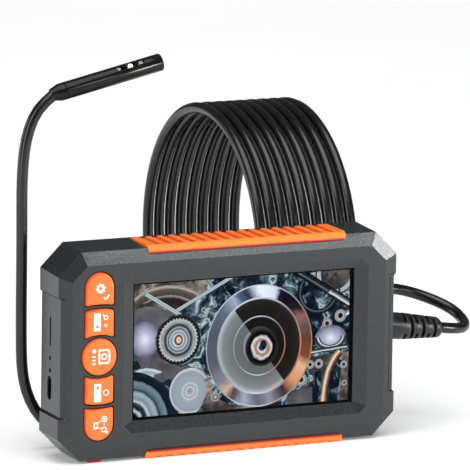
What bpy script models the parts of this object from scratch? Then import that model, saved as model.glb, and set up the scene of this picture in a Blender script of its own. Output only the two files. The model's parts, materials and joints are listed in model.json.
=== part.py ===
"""Inspection camera: a handset with a screen and five keys, on a long lead with a two-lens probe.

X runs to the right as the screen is read, Y from the screen to the back, Z up.
The origin is on the ground, under the middle of the handset, which stands on its lower grip.
"""

import math

import bmesh
import bpy
from mathutils import Matrix, Vector

MM = 0.001
GAP = 0.0003
FINE_GAP = 0.00015
OVERCUT = 0.0010

# Housing outline, seen from the front. A bumper at each corner stands proud of the side walls.
HALF_WIDTH = 0.0730
HALF_HEIGHT = 0.0415
TOP_RISE = 0.0010
CORNER_CUT = 0.00935
BUMPER_STEP = 0.0009
BUMPER_REACH = 0.0238
GRIP_PROUD = 0.0012
MID_Z = GRIP_PROUD + HALF_HEIGHT

# Depths, front to back.
FRONT_Y = -0.0110
SIDE_FRONT_Y = -0.0095
FRONT_WALL_Y = -0.0070
SIDE_BACK_Y = 0.0088
REAR_BEVEL_Y = 0.0093
REAR_WALL_Y = 0.0096
REAR_Y = 0.0116
FRONT_BEVEL = 0.0053
REAR_BEVEL = 0.0025
SIDE_WALL = 0.0030
TOP_WALL = 0.0023
REAR_POCKET = (0.1392, 0.0776, 0.0078)

# Screen.
SCREEN_X = 0.0071
SCREEN_OPENING = (0.0958, 0.0546)
RECESS_OUTER = (0.1058, 0.0634)
RECESS_CUT = 0.0032
RECESS_Y = -0.0083
LCD_SIZE = (0.1036, 0.0606)
GASKET_OPENING = (0.0950, 0.0538)
GASKET_Y = (-0.0069, -0.0065)
LCD_Y = (-0.0064, -0.0050)
BACKLIGHT_Y = (-0.0049, -0.0027)

# Keys: a column of five, as mirrored pairs about the round one.
KEY_X = -0.0563
KEY_HALF_WIDTH = 0.00615
KEY_PROUD = 0.0006
KEY_CROWN = 0.93
KEY_CLEARANCE = 0.00035
ROUND_KEY_RADIUS = 0.00745
END_KEY = (0.0203, 0.0335)
MIDDLE_KEY = (0.0076, 0.0191)
KEY_FLANGE_Y = (-0.0067, -0.0060)
KEY_FLANGE_REACH = 0.0009
KEY_PAD_Y = (-0.0051, -0.0046)
KEY_PAD_SIZE = (0.0126, 2 * END_KEY[1] - 0.0030, 0.0020)
KEY_SWITCH_Y = (-0.0044, -0.00175)
KEY_SWITCH_SIZE = 0.0060
KEY_PLUNGER_SIZE = 0.0030

# Board and what stands on it.
BOARD_Y = (-0.0016, -0.0005)
BOARD_X = (-0.0695, 0.0665)
BOARD_HALF_HEIGHT = 0.0265
BOARD_NOTCH = (0.0520, 0.0105)
SOCKET_Y = BOARD_Y[1] + FINE_GAP
USB_Z = 0.0291
USB_SIZE = (0.00894, 0.00326, 0.0073)
USB_Y = SOCKET_Y + USB_SIZE[1] / 2
USB_MOUTH = -0.0717
CARD_Z = 0.0518
CARD_SIZE = (0.0150, 0.0009, 0.0109)
CARD_MOUTH = -0.0718
CARD_SOCKET_SIZE = (0.0160, 0.0018, 0.0140)
CARD_SOCKET_X = -0.0697
CARD_Y = SOCKET_Y + CARD_SOCKET_SIZE[1] / 2
CONNECTOR_BOX = ((0.0450, 0.0500), (SOCKET_Y, 0.0028), (0.0375, 0.0475))
CARD_TRAVEL = 0.0120
LED_Z = 0.0411
CHARGE_LIGHT_X = (-0.0717, -0.0688)
CHARGE_LIGHT_RADIUS = 0.00055
MICROPHONE_Z = 0.0362
MICROPHONE_RADIUS = 0.0012
MICROPHONE_LENGTH = 0.0015
PIN_HOLE_RADIUS = 0.0010
PIN_HOLE_Y = 0.0008
BATTERY_BOX = ((-0.0240, 0.0430), (0.0006, 0.0062), (0.0177, 0.0677))
BATTERY_PAD_Y = (0.0064, 0.0093)
BATTERY_PAD_INSET = 0.010

# Fastenings. Screw heads and shanks are (length, radius), and places are (X, distance above the middle).
PILLAR_ROOT_Y = FRONT_WALL_Y - 0.0005
CASE_BOSS = (0.0665, 0.0310)
CASE_BOSS_RADIUS = 0.0030
CASE_HOLE_END = 0.0010
CASE_THREAD_HOLE = 0.0012
CASE_SCREW_HOLE = 0.0013
CASE_HEAD_HOLE = 0.0027
CASE_SEAT_Y = 0.0102
CASE_SCREW_HEAD = (0.0010, 0.0024)
CASE_SCREW_SHANK = (0.0080, 0.0010)
SMALL_SCREW_HEAD = (0.0007, 0.0014)
SMALL_SCREW_HOLE = 0.0008
BOARD_SCREW_HOLE = 0.0011
BOARD_SCREW_SHANK = (0.0036, 0.0006)
CLAMP_SCREW_SHANK = (0.0076, 0.0006)
POST_HOLE_END = -0.0055
BOARD_POSTS = ((-0.0470, 0.0215), (0.0630, 0.0215))
BOARD_POST_RADIUS = 0.0015
CLAMP_X = 0.0632
CLAMP_POST_Z = 0.0068
CLAMP_POST_RADIUS = 0.0017
CLAMP_FOOT_Y = -0.0024
CLAMP_TOP_Y = 0.0040
CLAMP_WIDTH = 0.0044
CLAMP_HALF_HEIGHT = 0.0088
CLAMP_ARCH_Y = 0.0022
CLAMP_ROOM = 0.0024
INNER_LEAD_DIAMETER = 0.0030

# Grips, set into the top and bottom of the housing.
GRIP_X = 0.0072
GRIP_HALF_LENGTH = 0.0428
GRIP_BACK_Y = 0.0084
GRIP_DEPTH = 0.0010
GRIP_LIP = 0.0005
GRIP_LIP_REACH = 0.0022
GRIP_END = 0.0032

# Sliding power switch under the left end.
POWER_X = -0.0568
POWER_Y = -0.0056
POWER_KNOB = (0.0064, 0.0056, 0.0008)
POWER_KNOB_LIFT = 0.00005
POWER_KNOB_TAPER = (0.0008, 0.0003)
POWER_STEM = (0.0020, 0.0016, 0.0040)
POWER_BODY = ((-0.0045, 0.0045), (-0.0012, 0.0036), (0.0043, 0.0087))
POWER_TRAVEL = 0.0030

# Lead.
CORD_DIAMETER = 0.0045
CORD_SIDES = 2
EXIT_Z = 0.0438
BOOT_X = (0.0724, 0.0976)
BOOT_RADII = (0.00545, 0.0041)
BOOT_STRAIGHT = 0.0080
BOOT_CHAMFER = (0.0012, 0.0009)
BOOT_NECK_RADIUS = 0.0043
BOOT_FLANGE = (-0.0052, -0.0031, 0.0058)
BOOT_BORE_RADIUS = 0.0030
BOOT_DROOP = 0.105
LEAD_HOLE_RADIUS = 0.0046
COIL_RADIUS = 0.0600
COIL_Y = 0.0782
COIL_X = (0.0249, 0.0742)
COIL_CHAMFER = 0.0009
COIL_STEPS = 48
CORD_STEP = 0.0070

# Routes are in millimetres. This one runs inside the housing, from the boot through the clamp.
INNER_ROUTE = ((66.9, 0.0, 44.0), (61.0, 0.1, 44.0), (55.0, 0.9, 43.9), (50.4, 1.2, 43.8))
# Round from the boot, behind the handset, to the side of the coil.
HANDSET_ROUTE = (
    (98.3, 0.0, 41.0), (103.0, 0.2, 40.3), (107.6, 1.8, 39.7), (111.6, 5.2, 39.4), (114.4, 10.1, 39.8),
    (115.6, 16.0, 41.1), (114.6, 22.0, 43.2), (111.0, 27.6, 45.5), (104.9, 31.5, 48.0),
    (96.6, 33.4, 50.5), (88.4, 32.8, 51.2), (81.0, 30.9, 48.6), (76.0, 29.1, 43.2),
)
# From the other side of the coil, down to the ground, up beside the handset and over to the probe.
PROBE_ROUTE = (
    (21.9, 20.2, 31.0), (15.0, 21.0, 20.2), (4.0, 22.0, 10.6), (-9.5, 22.8, 4.9), (-24.0, 23.2, 2.7),
    (-40.0, 23.0, 2.55), (-53.5, 22.5, 4.4), (-63.6, 22.1, 9.4), (-70.6, 22.0, 17.8), (-74.4, 22.0, 28.5),
    (-75.5, 22.0, 42.0), (-75.6, 22.0, 66.0), (-75.6, 22.0, 92.0), (-75.4, 22.0, 112.0),
    (-73.4, 22.0, 126.0), (-68.6, 22.0, 136.0), (-62.6, 22.0, 141.3),
)

# Probe, along its own X from tail to face.
PROBE_TAIL = (-0.0619, 0.0220, 0.1417)
PROBE_TILT = math.radians(13.0)
PROBE_LENGTH = 0.0462
PROBE_RADIUS = 0.0035
SLEEVE_BORE = 0.0030
SLEEVE_START = 0.0042
SIDE_LENS_ALONG = 0.0327
SIDE_LED_ALONG = (0.0275, 0.0372)
SIDE_APERTURE = (0.0120, 0.0024)
SIDE_FACING = math.radians(56)
# Radius, then how far from the axis it starts and ends.
SIDE_CAMERA = (0.0010, 0.0007, 0.0030)
SIDE_LED = (0.0009, 0.0007, 0.0029)
TAIL_FACE = (0.0003, 0.0024)
TAIL_SHOULDER = 0.0020
TAIL_SPIGOT_END = 0.0080
# Depths behind the probe's face.
WINDOW_DEPTHS = (0.0010, 0.0003)
LED_BOARD_DEPTHS = (0.0024, 0.0012)
LED_BOARD_HOLE = 0.0016
FRONT_CAMERA = ((0.0066, 0.0024), (0.0027, 0.0024), (0.0027, 0.0014), (0.0014, 0.0014))
PROBE_BOARD_X = (0.0100, 0.0390)
PROBE_BOARD_WIDTH = 0.0044
PROBE_BOARD_HEIGHTS = (-0.0003, 0.0004)


def clear_scene():
    for obj in list(bpy.data.objects):
        bpy.data.objects.remove(obj, do_unlink=True)


def material(name, colour, roughness, metallic=0.0, transmission=0.0):
    made = bpy.data.materials.new(name)
    made.use_nodes = True
    shader = made.node_tree.nodes["Principled BSDF"]
    shader.inputs["Base Color"].default_value = (*colour, 1.0)
    shader.inputs["Roughness"].default_value = roughness
    shader.inputs["Metallic"].default_value = metallic
    shader.inputs["Transmission Weight"].default_value = transmission
    return made


def arc(centre, radius, start, end, steps):
    """Points of a circular arc, angles in degrees."""
    turns = [math.radians(start + (end - start) * i / steps) for i in range(steps + 1)]
    return [(centre[0] + radius * math.cos(t), centre[1] + radius * math.sin(t)) for t in turns]


def rectangle(width, height, x=0.0, z=0.0):
    w, h = width / 2, height / 2
    return [(x - w, z - h), (x + w, z - h), (x + w, z + h), (x - w, z + h)]


def cut_rectangle(width, height, cut, x=0.0, z=0.0):
    """A rectangle with cut corners, counter-clockwise from the lower right."""
    w, h = width / 2, height / 2
    corners = [(w - cut, -h), (w, cut - h), (w, h - cut), (w - cut, h)]
    corners += [(cut - w, h), (-w, h - cut), (-w, cut - h), (cut - w, -h)]
    return [(x + a, z + b) for a, b in corners]


def stadium(length, width, steps=5):
    """A slot outline, its length along the second coordinate."""
    reach = length / 2 - width / 2
    return arc((0, reach), width / 2, 0, 180, steps) + arc((0, -reach), width / 2, 180, 360, steps)


def moved(outline, x, z):
    return [(a + x, b + z) for a, b in outline]


def at_depth(outline, y):
    """An outline drawn in X and Z, set at one depth."""
    return [(x, y, z) for x, z in outline]


def at_side(outline, x):
    """An outline drawn in Y and Z, set at one X."""
    return [(x, y, z) for y, z in outline]


def loft(bm, sections):
    """A closed body through outlines that have the same number of points."""
    loops = [[bm.verts.new(point) for point in section] for section in sections]
    count = len(loops[0])
    faces = [bm.faces.new(loops[0]), bm.faces.new(list(reversed(loops[-1])))]
    for near, far in zip(loops, loops[1:]):
        for i in range(count):
            j = (i + 1) % count
            faces.append(bm.faces.new((near[j], near[i], far[i], far[j])))
    bmesh.ops.recalc_face_normals(bm, faces=faces)


def prism(bm, outline, y_near, y_far):
    loft(bm, [at_depth(outline, y_near), at_depth(outline, y_far)])


def block(bm, x_range, y_range, z_range):
    width, height = x_range[1] - x_range[0], z_range[1] - z_range[0]
    middle = (sum(x_range) / 2, sum(z_range) / 2)
    prism(bm, rectangle(width, height, *middle), *y_range)


def turned(bm, profile, steps, matrix=Matrix.Identity(4)):
    """A round body about its own X, from (along, radius) pairs."""
    sections = []
    for along, radius in profile:
        circle = arc((0, 0), radius, 0, 360 - 360 / steps, steps - 1)
        sections.append([matrix @ Vector((along, y, z)) for y, z in circle])
    loft(bm, sections)


def turned_ring(bm, profile, steps, matrix=Matrix.Identity(4)):
    """A hollow round body about its own X, from a closed loop of (along, radius) pairs."""
    loops = []
    for i in range(steps):
        turn = 2 * math.pi * i / steps
        loops.append([
            bm.verts.new(matrix @ Vector((along, radius * math.cos(turn), radius * math.sin(turn))))
            for along, radius in profile
        ])
    faces = []
    for i in range(steps):
        near, far = loops[i], loops[(i + 1) % steps]
        for j in range(len(profile)):
            k = (j + 1) % len(profile)
            faces.append(bm.faces.new((near[j], near[k], far[k], far[j])))
    bmesh.ops.recalc_face_normals(bm, faces=faces)


def along_y(x, z):
    """Turns a round body's own X to +Y, through one point of the front view."""
    return Matrix.Translation((x, 0, z)) @ Matrix.Rotation(math.radians(90), 4, "Z")


def piece(name, draw, finish=None, origin=(0, 0, 0), smooth=False):
    """An object from a drawing function in world coordinates, with its origin at a given point."""
    bm = bmesh.new()
    draw(bm)
    bmesh.ops.translate(bm, vec=-Vector(origin), verts=bm.verts)
    mesh = bpy.data.meshes.new(name)
    bm.to_mesh(mesh)
    bm.free()
    if smooth:
        mesh.shade_smooth()
        mesh.set_sharp_from_angle(angle=math.radians(40))
    obj = bpy.data.objects.new(name, mesh)
    obj.location = origin
    bpy.context.scene.collection.objects.link(obj)
    if finish:
        mesh.materials.append(finish)
    return obj


def helper(name, draw):
    obj = piece(name, draw)
    obj.hide_render = True
    obj.display_type = "WIRE"
    return obj


def combine(obj, operation, other):
    boolean = obj.modifiers.new(other.name, "BOOLEAN")
    boolean.operation = operation
    boolean.object = other
    return obj


def housing_outline(inset, step=BUMPER_STEP, rise=0.0):
    """The housing seen from the front, moved in by a distance. The side walls step in between bumpers.

    The top is lifted by a rise.
    """
    w, h = HALF_WIDTH - inset, HALF_HEIGHT - inset
    cut = CORNER_CUT - inset * (2 - math.sqrt(2))
    reach, ramp = BUMPER_REACH, BUMPER_STEP / 2
    right = [(w - cut, -h), (w, cut - h), (w, -reach - ramp), (w - step, ramp - reach)]
    right += [(w - step, reach - ramp), (w, reach + ramp), (w, h - cut), (w - cut, h)]
    left = [(-x, -z) for x, z in right]
    lifted = [(x, z + rise if z > reach + step + ramp else z) for x, z in right + left]
    return moved(lifted, 0, MID_Z)


def end_key_outline(grow=0.0):
    """Arched key above the column, with a slightly hollow lower edge. Z is measured from the round key."""
    w, low, high = KEY_HALF_WIDTH + grow, END_KEY[0] - grow, END_KEY[1] + grow
    corner, hollow = 0.0008, 0.0004
    outline = arc((0, high - w), w, 0, 180, 14)
    outline += arc((corner - w, low + corner), corner, 180, 270, 3)
    outline += [(-w / 2, low + hollow * 0.7), (0, low + hollow), (w / 2, low + hollow * 0.7)]
    return outline + arc((w - corner, low + corner), corner, 270, 360, 3)


def middle_key_outline(grow=0.0):
    """Key beside the round one, with a crowned upper edge and a hollow lower edge."""
    w, low, high = KEY_HALF_WIDTH + grow, MIDDLE_KEY[0] - grow, MIDDLE_KEY[1] + grow
    corner, crown, hollow = 0.0010, 0.0005, 0.0010
    outline = arc((w - corner, high - crown - corner), corner, 0, 90, 3)
    outline += [(w / 2, high - 0.0001), (0, high), (-w / 2, high - 0.0001)]
    outline += arc((corner - w, high - crown - corner), corner, 90, 180, 3)
    outline += arc((corner * 0.6 - w, low + corner * 0.6), corner * 0.6, 180, 270, 2)
    outline += [(-w / 2, low + hollow * 0.75), (0, low + hollow), (w / 2, low + hollow * 0.75)]
    return outline + arc((w - corner * 0.6, low + corner * 0.6), corner * 0.6, 270, 360, 2)


def round_key_outline(grow=0.0):
    return arc((0, 0), ROUND_KEY_RADIUS + grow, 0, 360 - 360 / 32, 31)


def key_outlines(grow=0.0):
    """Name, outline and flange box of each key, from the top of the column down."""
    end, middle = end_key_outline(grow), middle_key_outline(grow)
    flange = KEY_HALF_WIDTH + KEY_FLANGE_REACH
    end_flange = (flange, END_KEY[0] + 0.0010, END_KEY[1] - 0.0060)
    middle_flange = (flange, MIDDLE_KEY[0] + 0.0016, MIDDLE_KEY[1] - 0.0016)
    round_flange = (ROUND_KEY_RADIUS + KEY_FLANGE_REACH, -0.0035, 0.0035)
    upside_down = [(w, -high, -low) for w, low, high in (middle_flange, end_flange)]
    return [
        ("menu_button", end, end_flange),
        ("zoom_button", middle, middle_flange),
        ("shutter_button", round_key_outline(grow), round_flange),
        ("rotate_button", [(-x, -z) for x, z in middle], upside_down[0]),
        ("lens_button", [(-x, -z) for x, z in end], upside_down[1]),
    ]


def grip_section(clearance, top, lip):
    """A grip's cross-section in Y and Z, from its lip on the front bevel round to the back edge."""
    c, wall, crest = clearance, HALF_HEIGHT, HALF_HEIGHT + GRIP_PROUD
    slope = lip * (SIDE_FRONT_Y - FRONT_Y) / FRONT_BEVEL
    section = [
        (SIDE_FRONT_Y - GRIP_LIP - slope - c, wall - lip - c), (SIDE_FRONT_Y - 0.0007 - c, wall + 0.0002),
        (SIDE_FRONT_Y + 0.0006, crest + c), (GRIP_BACK_Y - 0.0006, crest + c),
        (GRIP_BACK_Y + c, crest - 0.0006), (GRIP_BACK_Y + c, wall - GRIP_DEPTH - c),
        (SIDE_FRONT_Y + GRIP_DEPTH, wall - GRIP_DEPTH - c),
        (SIDE_FRONT_Y + 0.0005 - slope, wall - lip - c),
    ]
    side = 1 if top else -1
    return [(y, MID_Z + side * z) for y, z in section]


def draw_grip(clearance, top):
    """A grip, its lip running up at each end."""

    def draw(bm):
        half = GRIP_HALF_LENGTH + clearance
        inner = half - GRIP_END
        full, short = grip_section(clearance, top, GRIP_LIP_REACH), grip_section(clearance, top, 0.0004)
        stations = [(-half, short), (-inner, full), (inner, full), (half, short)]
        loft(bm, [at_side(section, GRIP_X + x) for x, section in stations])

    return draw


def draw_pillars(bm):
    """Bosses for the case screws and posts for the board and the lead's clamp."""
    for side in (-1, 1):
        for end in (-1, 1):
            boss = [(PILLAR_ROOT_Y, CASE_BOSS_RADIUS), (SIDE_BACK_Y - 0.0002, CASE_BOSS_RADIUS)]
            turned(bm, boss, 16, along_y(side * CASE_BOSS[0], MID_Z + end * CASE_BOSS[1]))
    for x, z in BOARD_POSTS:
        for end in (-1, 1):
            post = [(PILLAR_ROOT_Y, BOARD_POST_RADIUS), (BOARD_Y[0] - FINE_GAP, BOARD_POST_RADIUS)]
            turned(bm, post, 12, along_y(x, MID_Z + end * z))
    for end in (-1, 1):
        post = [(PILLAR_ROOT_Y, CLAMP_POST_RADIUS), (CLAMP_FOOT_Y - FINE_GAP, CLAMP_POST_RADIUS)]
        turned(bm, post, 12, along_y(CLAMP_X, EXIT_Z + end * CLAMP_POST_Z))


def draw_pillar_holes(bm):
    for side in (-1, 1):
        for end in (-1, 1):
            hole = [(CASE_HOLE_END, CASE_THREAD_HOLE), (SIDE_BACK_Y + OVERCUT, CASE_THREAD_HOLE)]
            turned(bm, hole, 12, along_y(side * CASE_BOSS[0], MID_Z + end * CASE_BOSS[1]))
    for x, z in BOARD_POSTS:
        for end in (-1, 1):
            hole = [(POST_HOLE_END, SMALL_SCREW_HOLE), (0.0, SMALL_SCREW_HOLE)]
            turned(bm, hole, 8, along_y(x, MID_Z + end * z))
    for end in (-1, 1):
        hole = [(POST_HOLE_END, SMALL_SCREW_HOLE), (0.0, SMALL_SCREW_HOLE)]
        turned(bm, hole, 8, along_y(CLAMP_X, EXIT_Z + end * CLAMP_POST_Z))


def draw_front_cuts(bm):
    """Holes for the keys, from before the front plane to inside the cavity."""
    for _, outline, _ in key_outlines(KEY_CLEARANCE):
        prism(bm, moved(outline, KEY_X, MID_Z), FRONT_Y - OVERCUT, FRONT_WALL_Y + OVERCUT)


def draw_recess(bm):
    """The sloping frame round the screen, carried on a little in front of the housing."""
    beyond = 1.4
    inner = rectangle(*SCREEN_OPENING, SCREEN_X, MID_Z)
    corners = inner[1:] + inner[:1]
    outer = cut_rectangle(*RECESS_OUTER, RECESS_CUT, SCREEN_X, MID_Z)
    near_y = RECESS_Y + (FRONT_Y - RECESS_Y) * beyond
    floor = [bm.verts.new(point) for point in at_depth(corners, RECESS_Y)]
    rim = []
    for i, point in enumerate(outer):
        corner = Vector(corners[i // 2])
        rim.append(corner + (Vector(point) - corner) * beyond)
    rim = [bm.verts.new((x, near_y, z)) for x, z in rim]
    faces = [bm.faces.new(floor), bm.faces.new(rim)]
    for i in range(4):
        a, b = 2 * i, 2 * i + 1
        faces.append(bm.faces.new((floor[i], rim[a], rim[b])))
        j, after = (i + 1) % 4, (b + 1) % 8
        faces.append(bm.faces.new((floor[i], rim[b], rim[after], floor[j])))
    bmesh.ops.recalc_face_normals(bm, faces=faces)


def draw_screen_hole(bm):
    prism(bm, rectangle(*SCREEN_OPENING, SCREEN_X, MID_Z), RECESS_Y - 0.0004, FRONT_WALL_Y + OVERCUT)


def draw_cavity(bm):
    width, height = 2 * (HALF_WIDTH - SIDE_WALL), 2 * (HALF_HEIGHT - TOP_WALL)
    cut = CORNER_CUT - TOP_WALL * (2 - math.sqrt(2)) - (SIDE_WALL - TOP_WALL)
    prism(bm, cut_rectangle(width, height, cut, 0, MID_Z), FRONT_WALL_Y, SIDE_BACK_Y + OVERCUT)


def draw_side_ports(bm):
    """Openings of the left wall: card slot, two pin holes and the charging socket, then the lead's hole."""
    outer, inner = -HALF_WIDTH - OVERCUT, SIDE_WALL - HALF_WIDTH + OVERCUT
    slots = [
        moved(stadium(CARD_SIZE[2] + 0.0009, 0.0015, 4), CARD_Y, CARD_Z),
        moved(stadium(USB_SIZE[0] + 0.0007, USB_SIZE[1] + 0.0007, 6), USB_Y, USB_Z),
    ]
    for height in (LED_Z, MICROPHONE_Z):
        slots.append(arc((PIN_HOLE_Y, height), PIN_HOLE_RADIUS, 0, 360 - 45, 7))
    for outline in slots:
        loft(bm, [at_side(outline, outer), at_side(outline, inner)])
    lead_hole = arc((0, EXIT_Z), LEAD_HOLE_RADIUS, 0, 360 - 360 / 20, 19)
    loft(bm, [at_side(lead_hole, -inner), at_side(lead_hole, -outer)])


def draw_power_slot(bm):
    half_x, half_y = POWER_STEM[0] / 2 + GAP, POWER_STEM[1] / 2 + GAP
    x_range = (POWER_X - half_x, POWER_X + half_x + POWER_TRAVEL)
    block(bm, x_range, (POWER_Y - half_y, POWER_Y + half_y), (0.0, GRIP_PROUD + TOP_WALL + OVERCUT))


def build_shells(dark):
    def draw_front(bm):
        flat = housing_outline(FRONT_BEVEL, 0.0)
        loft(bm, [
            at_depth(flat, FRONT_Y),
            at_depth(housing_outline(0.0), SIDE_FRONT_Y),
            at_depth(housing_outline(0.0, rise=TOP_RISE), SIDE_BACK_Y),
        ])

    front = piece("front_shell", draw_front, dark)
    combine(front, "DIFFERENCE", helper("cavity_cutter", draw_cavity))
    combine(front, "UNION", helper("pillar_shapes", draw_pillars))
    combine(front, "DIFFERENCE", helper("recess_cutter", draw_recess))
    combine(front, "DIFFERENCE", helper("screen_cutter", draw_screen_hole))
    combine(front, "DIFFERENCE", helper("key_cutter", draw_front_cuts))
    combine(front, "DIFFERENCE", helper("pillar_cutter", draw_pillar_holes))
    combine(front, "DIFFERENCE", helper("port_cutter", draw_side_ports))
    combine(front, "DIFFERENCE", helper("power_cutter", draw_power_slot))
    combine(front, "DIFFERENCE", helper("top_grip_cutter", draw_grip(FINE_GAP, True)))
    combine(front, "DIFFERENCE", helper("bottom_grip_cutter", draw_grip(FINE_GAP, False)))

    def draw_rear(bm):
        rim = housing_outline(0.0, rise=TOP_RISE)
        loft(bm, [
            at_depth(rim, SIDE_BACK_Y + FINE_GAP),
            at_depth(rim, REAR_BEVEL_Y),
            at_depth(housing_outline(REAR_BEVEL, 0.0, TOP_RISE), REAR_Y),
        ])

    def draw_rear_pocket(bm):
        pocket = cut_rectangle(*REAR_POCKET, 0, MID_Z)
        prism(bm, pocket, SIDE_BACK_Y - OVERCUT, REAR_WALL_Y)

    def draw_rear_holes(bm):
        bore = [(SIDE_BACK_Y - OVERCUT, CASE_SCREW_HOLE), (CASE_SEAT_Y, CASE_SCREW_HOLE)]
        bore += [(CASE_SEAT_Y, CASE_HEAD_HOLE), (REAR_Y + OVERCUT, CASE_HEAD_HOLE)]
        for side in (-1, 1):
            for end in (-1, 1):
                turned(bm, bore, 16, along_y(side * CASE_BOSS[0], MID_Z + end * CASE_BOSS[1]))

    rear = piece("rear_shell", draw_rear, dark)
    combine(rear, "DIFFERENCE", helper("rear_pocket_cutter", draw_rear_pocket))
    combine(rear, "DIFFERENCE", helper("rear_hole_cutter", draw_rear_holes))


def build_grips(orange):
    for name, top in (("top_grip", True), ("bottom_grip", False)):
        piece(name, draw_grip(0.0, top), orange)


def build_screen(glass, black, metal, foam):
    def plate(outline, y_range):
        return lambda bm: prism(bm, outline, *y_range)

    def frame(outer, inner, y_range):
        def draw(bm):
            near, far = y_range
            loops = [
                at_depth(outer, near), at_depth(outer, far), at_depth(inner, far), at_depth(inner, near),
            ]
            verts = [[bm.verts.new(point) for point in loop] for loop in loops]
            faces = []
            for a, b in zip(verts, verts[1:] + verts[:1]):
                for i in range(4):
                    j = (i + 1) % 4
                    faces.append(bm.faces.new((a[i], a[j], b[j], b[i])))
            bmesh.ops.recalc_face_normals(bm, faces=faces)

        return draw

    width, height = SCREEN_OPENING
    pane = rectangle(width - 2 * FINE_GAP, height - 2 * FINE_GAP, SCREEN_X, MID_Z)
    panel = rectangle(*LCD_SIZE, SCREEN_X, MID_Z)
    window_y = (RECESS_Y + 0.0001, FRONT_WALL_Y)
    piece("screen_window", plate(pane, window_y), glass)
    opening = rectangle(*GASKET_OPENING, SCREEN_X, MID_Z)
    piece("screen_gasket", frame(panel, opening, GASKET_Y), foam)
    piece("lcd_panel", plate(panel, LCD_Y), black)
    piece("lcd_backlight", plate(panel, BACKLIGHT_Y), metal)


def build_keys(orange, silicone, switch_finish):
    for index, (name, outline, flange) in enumerate(key_outlines()):
        middle = sum(z for _, z in outline) / len(outline)
        small = [(x * KEY_CROWN, middle + (z - middle) * KEY_CROWN) for x, z in outline]

        def draw(bm, outline=outline, small=small):
            loft(bm, [
                at_depth(moved(small, KEY_X, MID_Z), FRONT_Y - KEY_PROUD),
                at_depth(moved(outline, KEY_X, MID_Z), FRONT_Y - KEY_PROUD + 0.0005),
                at_depth(moved(outline, KEY_X, MID_Z), KEY_FLANGE_Y[1] - 0.0001),
            ])

        def draw_flange(bm, flange=flange):
            reach, low, high = flange
            block(bm, (KEY_X - reach, KEY_X + reach), KEY_FLANGE_Y, (MID_Z + low, MID_Z + high))

        key = piece(name, draw, orange, (KEY_X, FRONT_Y, MID_Z + middle))
        combine(key, "UNION", helper(name + "_flange", draw_flange))

        def draw_switch(bm, height=MID_Z + middle):
            body = rectangle(KEY_SWITCH_SIZE, KEY_SWITCH_SIZE, KEY_X, height)
            plunger = rectangle(KEY_PLUNGER_SIZE, KEY_PLUNGER_SIZE, KEY_X, height)
            near, far = KEY_SWITCH_Y
            step = near + 0.0006
            narrow = [at_depth(plunger, near), at_depth(plunger, step)]
            loft(bm, narrow + [at_depth(body, step + 0.0001), at_depth(body, far)])

        piece(f"key_switch_{index + 1}", draw_switch, switch_finish)

    def draw_pad(bm):
        prism(bm, cut_rectangle(*KEY_PAD_SIZE, KEY_X, MID_Z), *KEY_PAD_Y)

    piece("key_pad", draw_pad, silicone)


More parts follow.
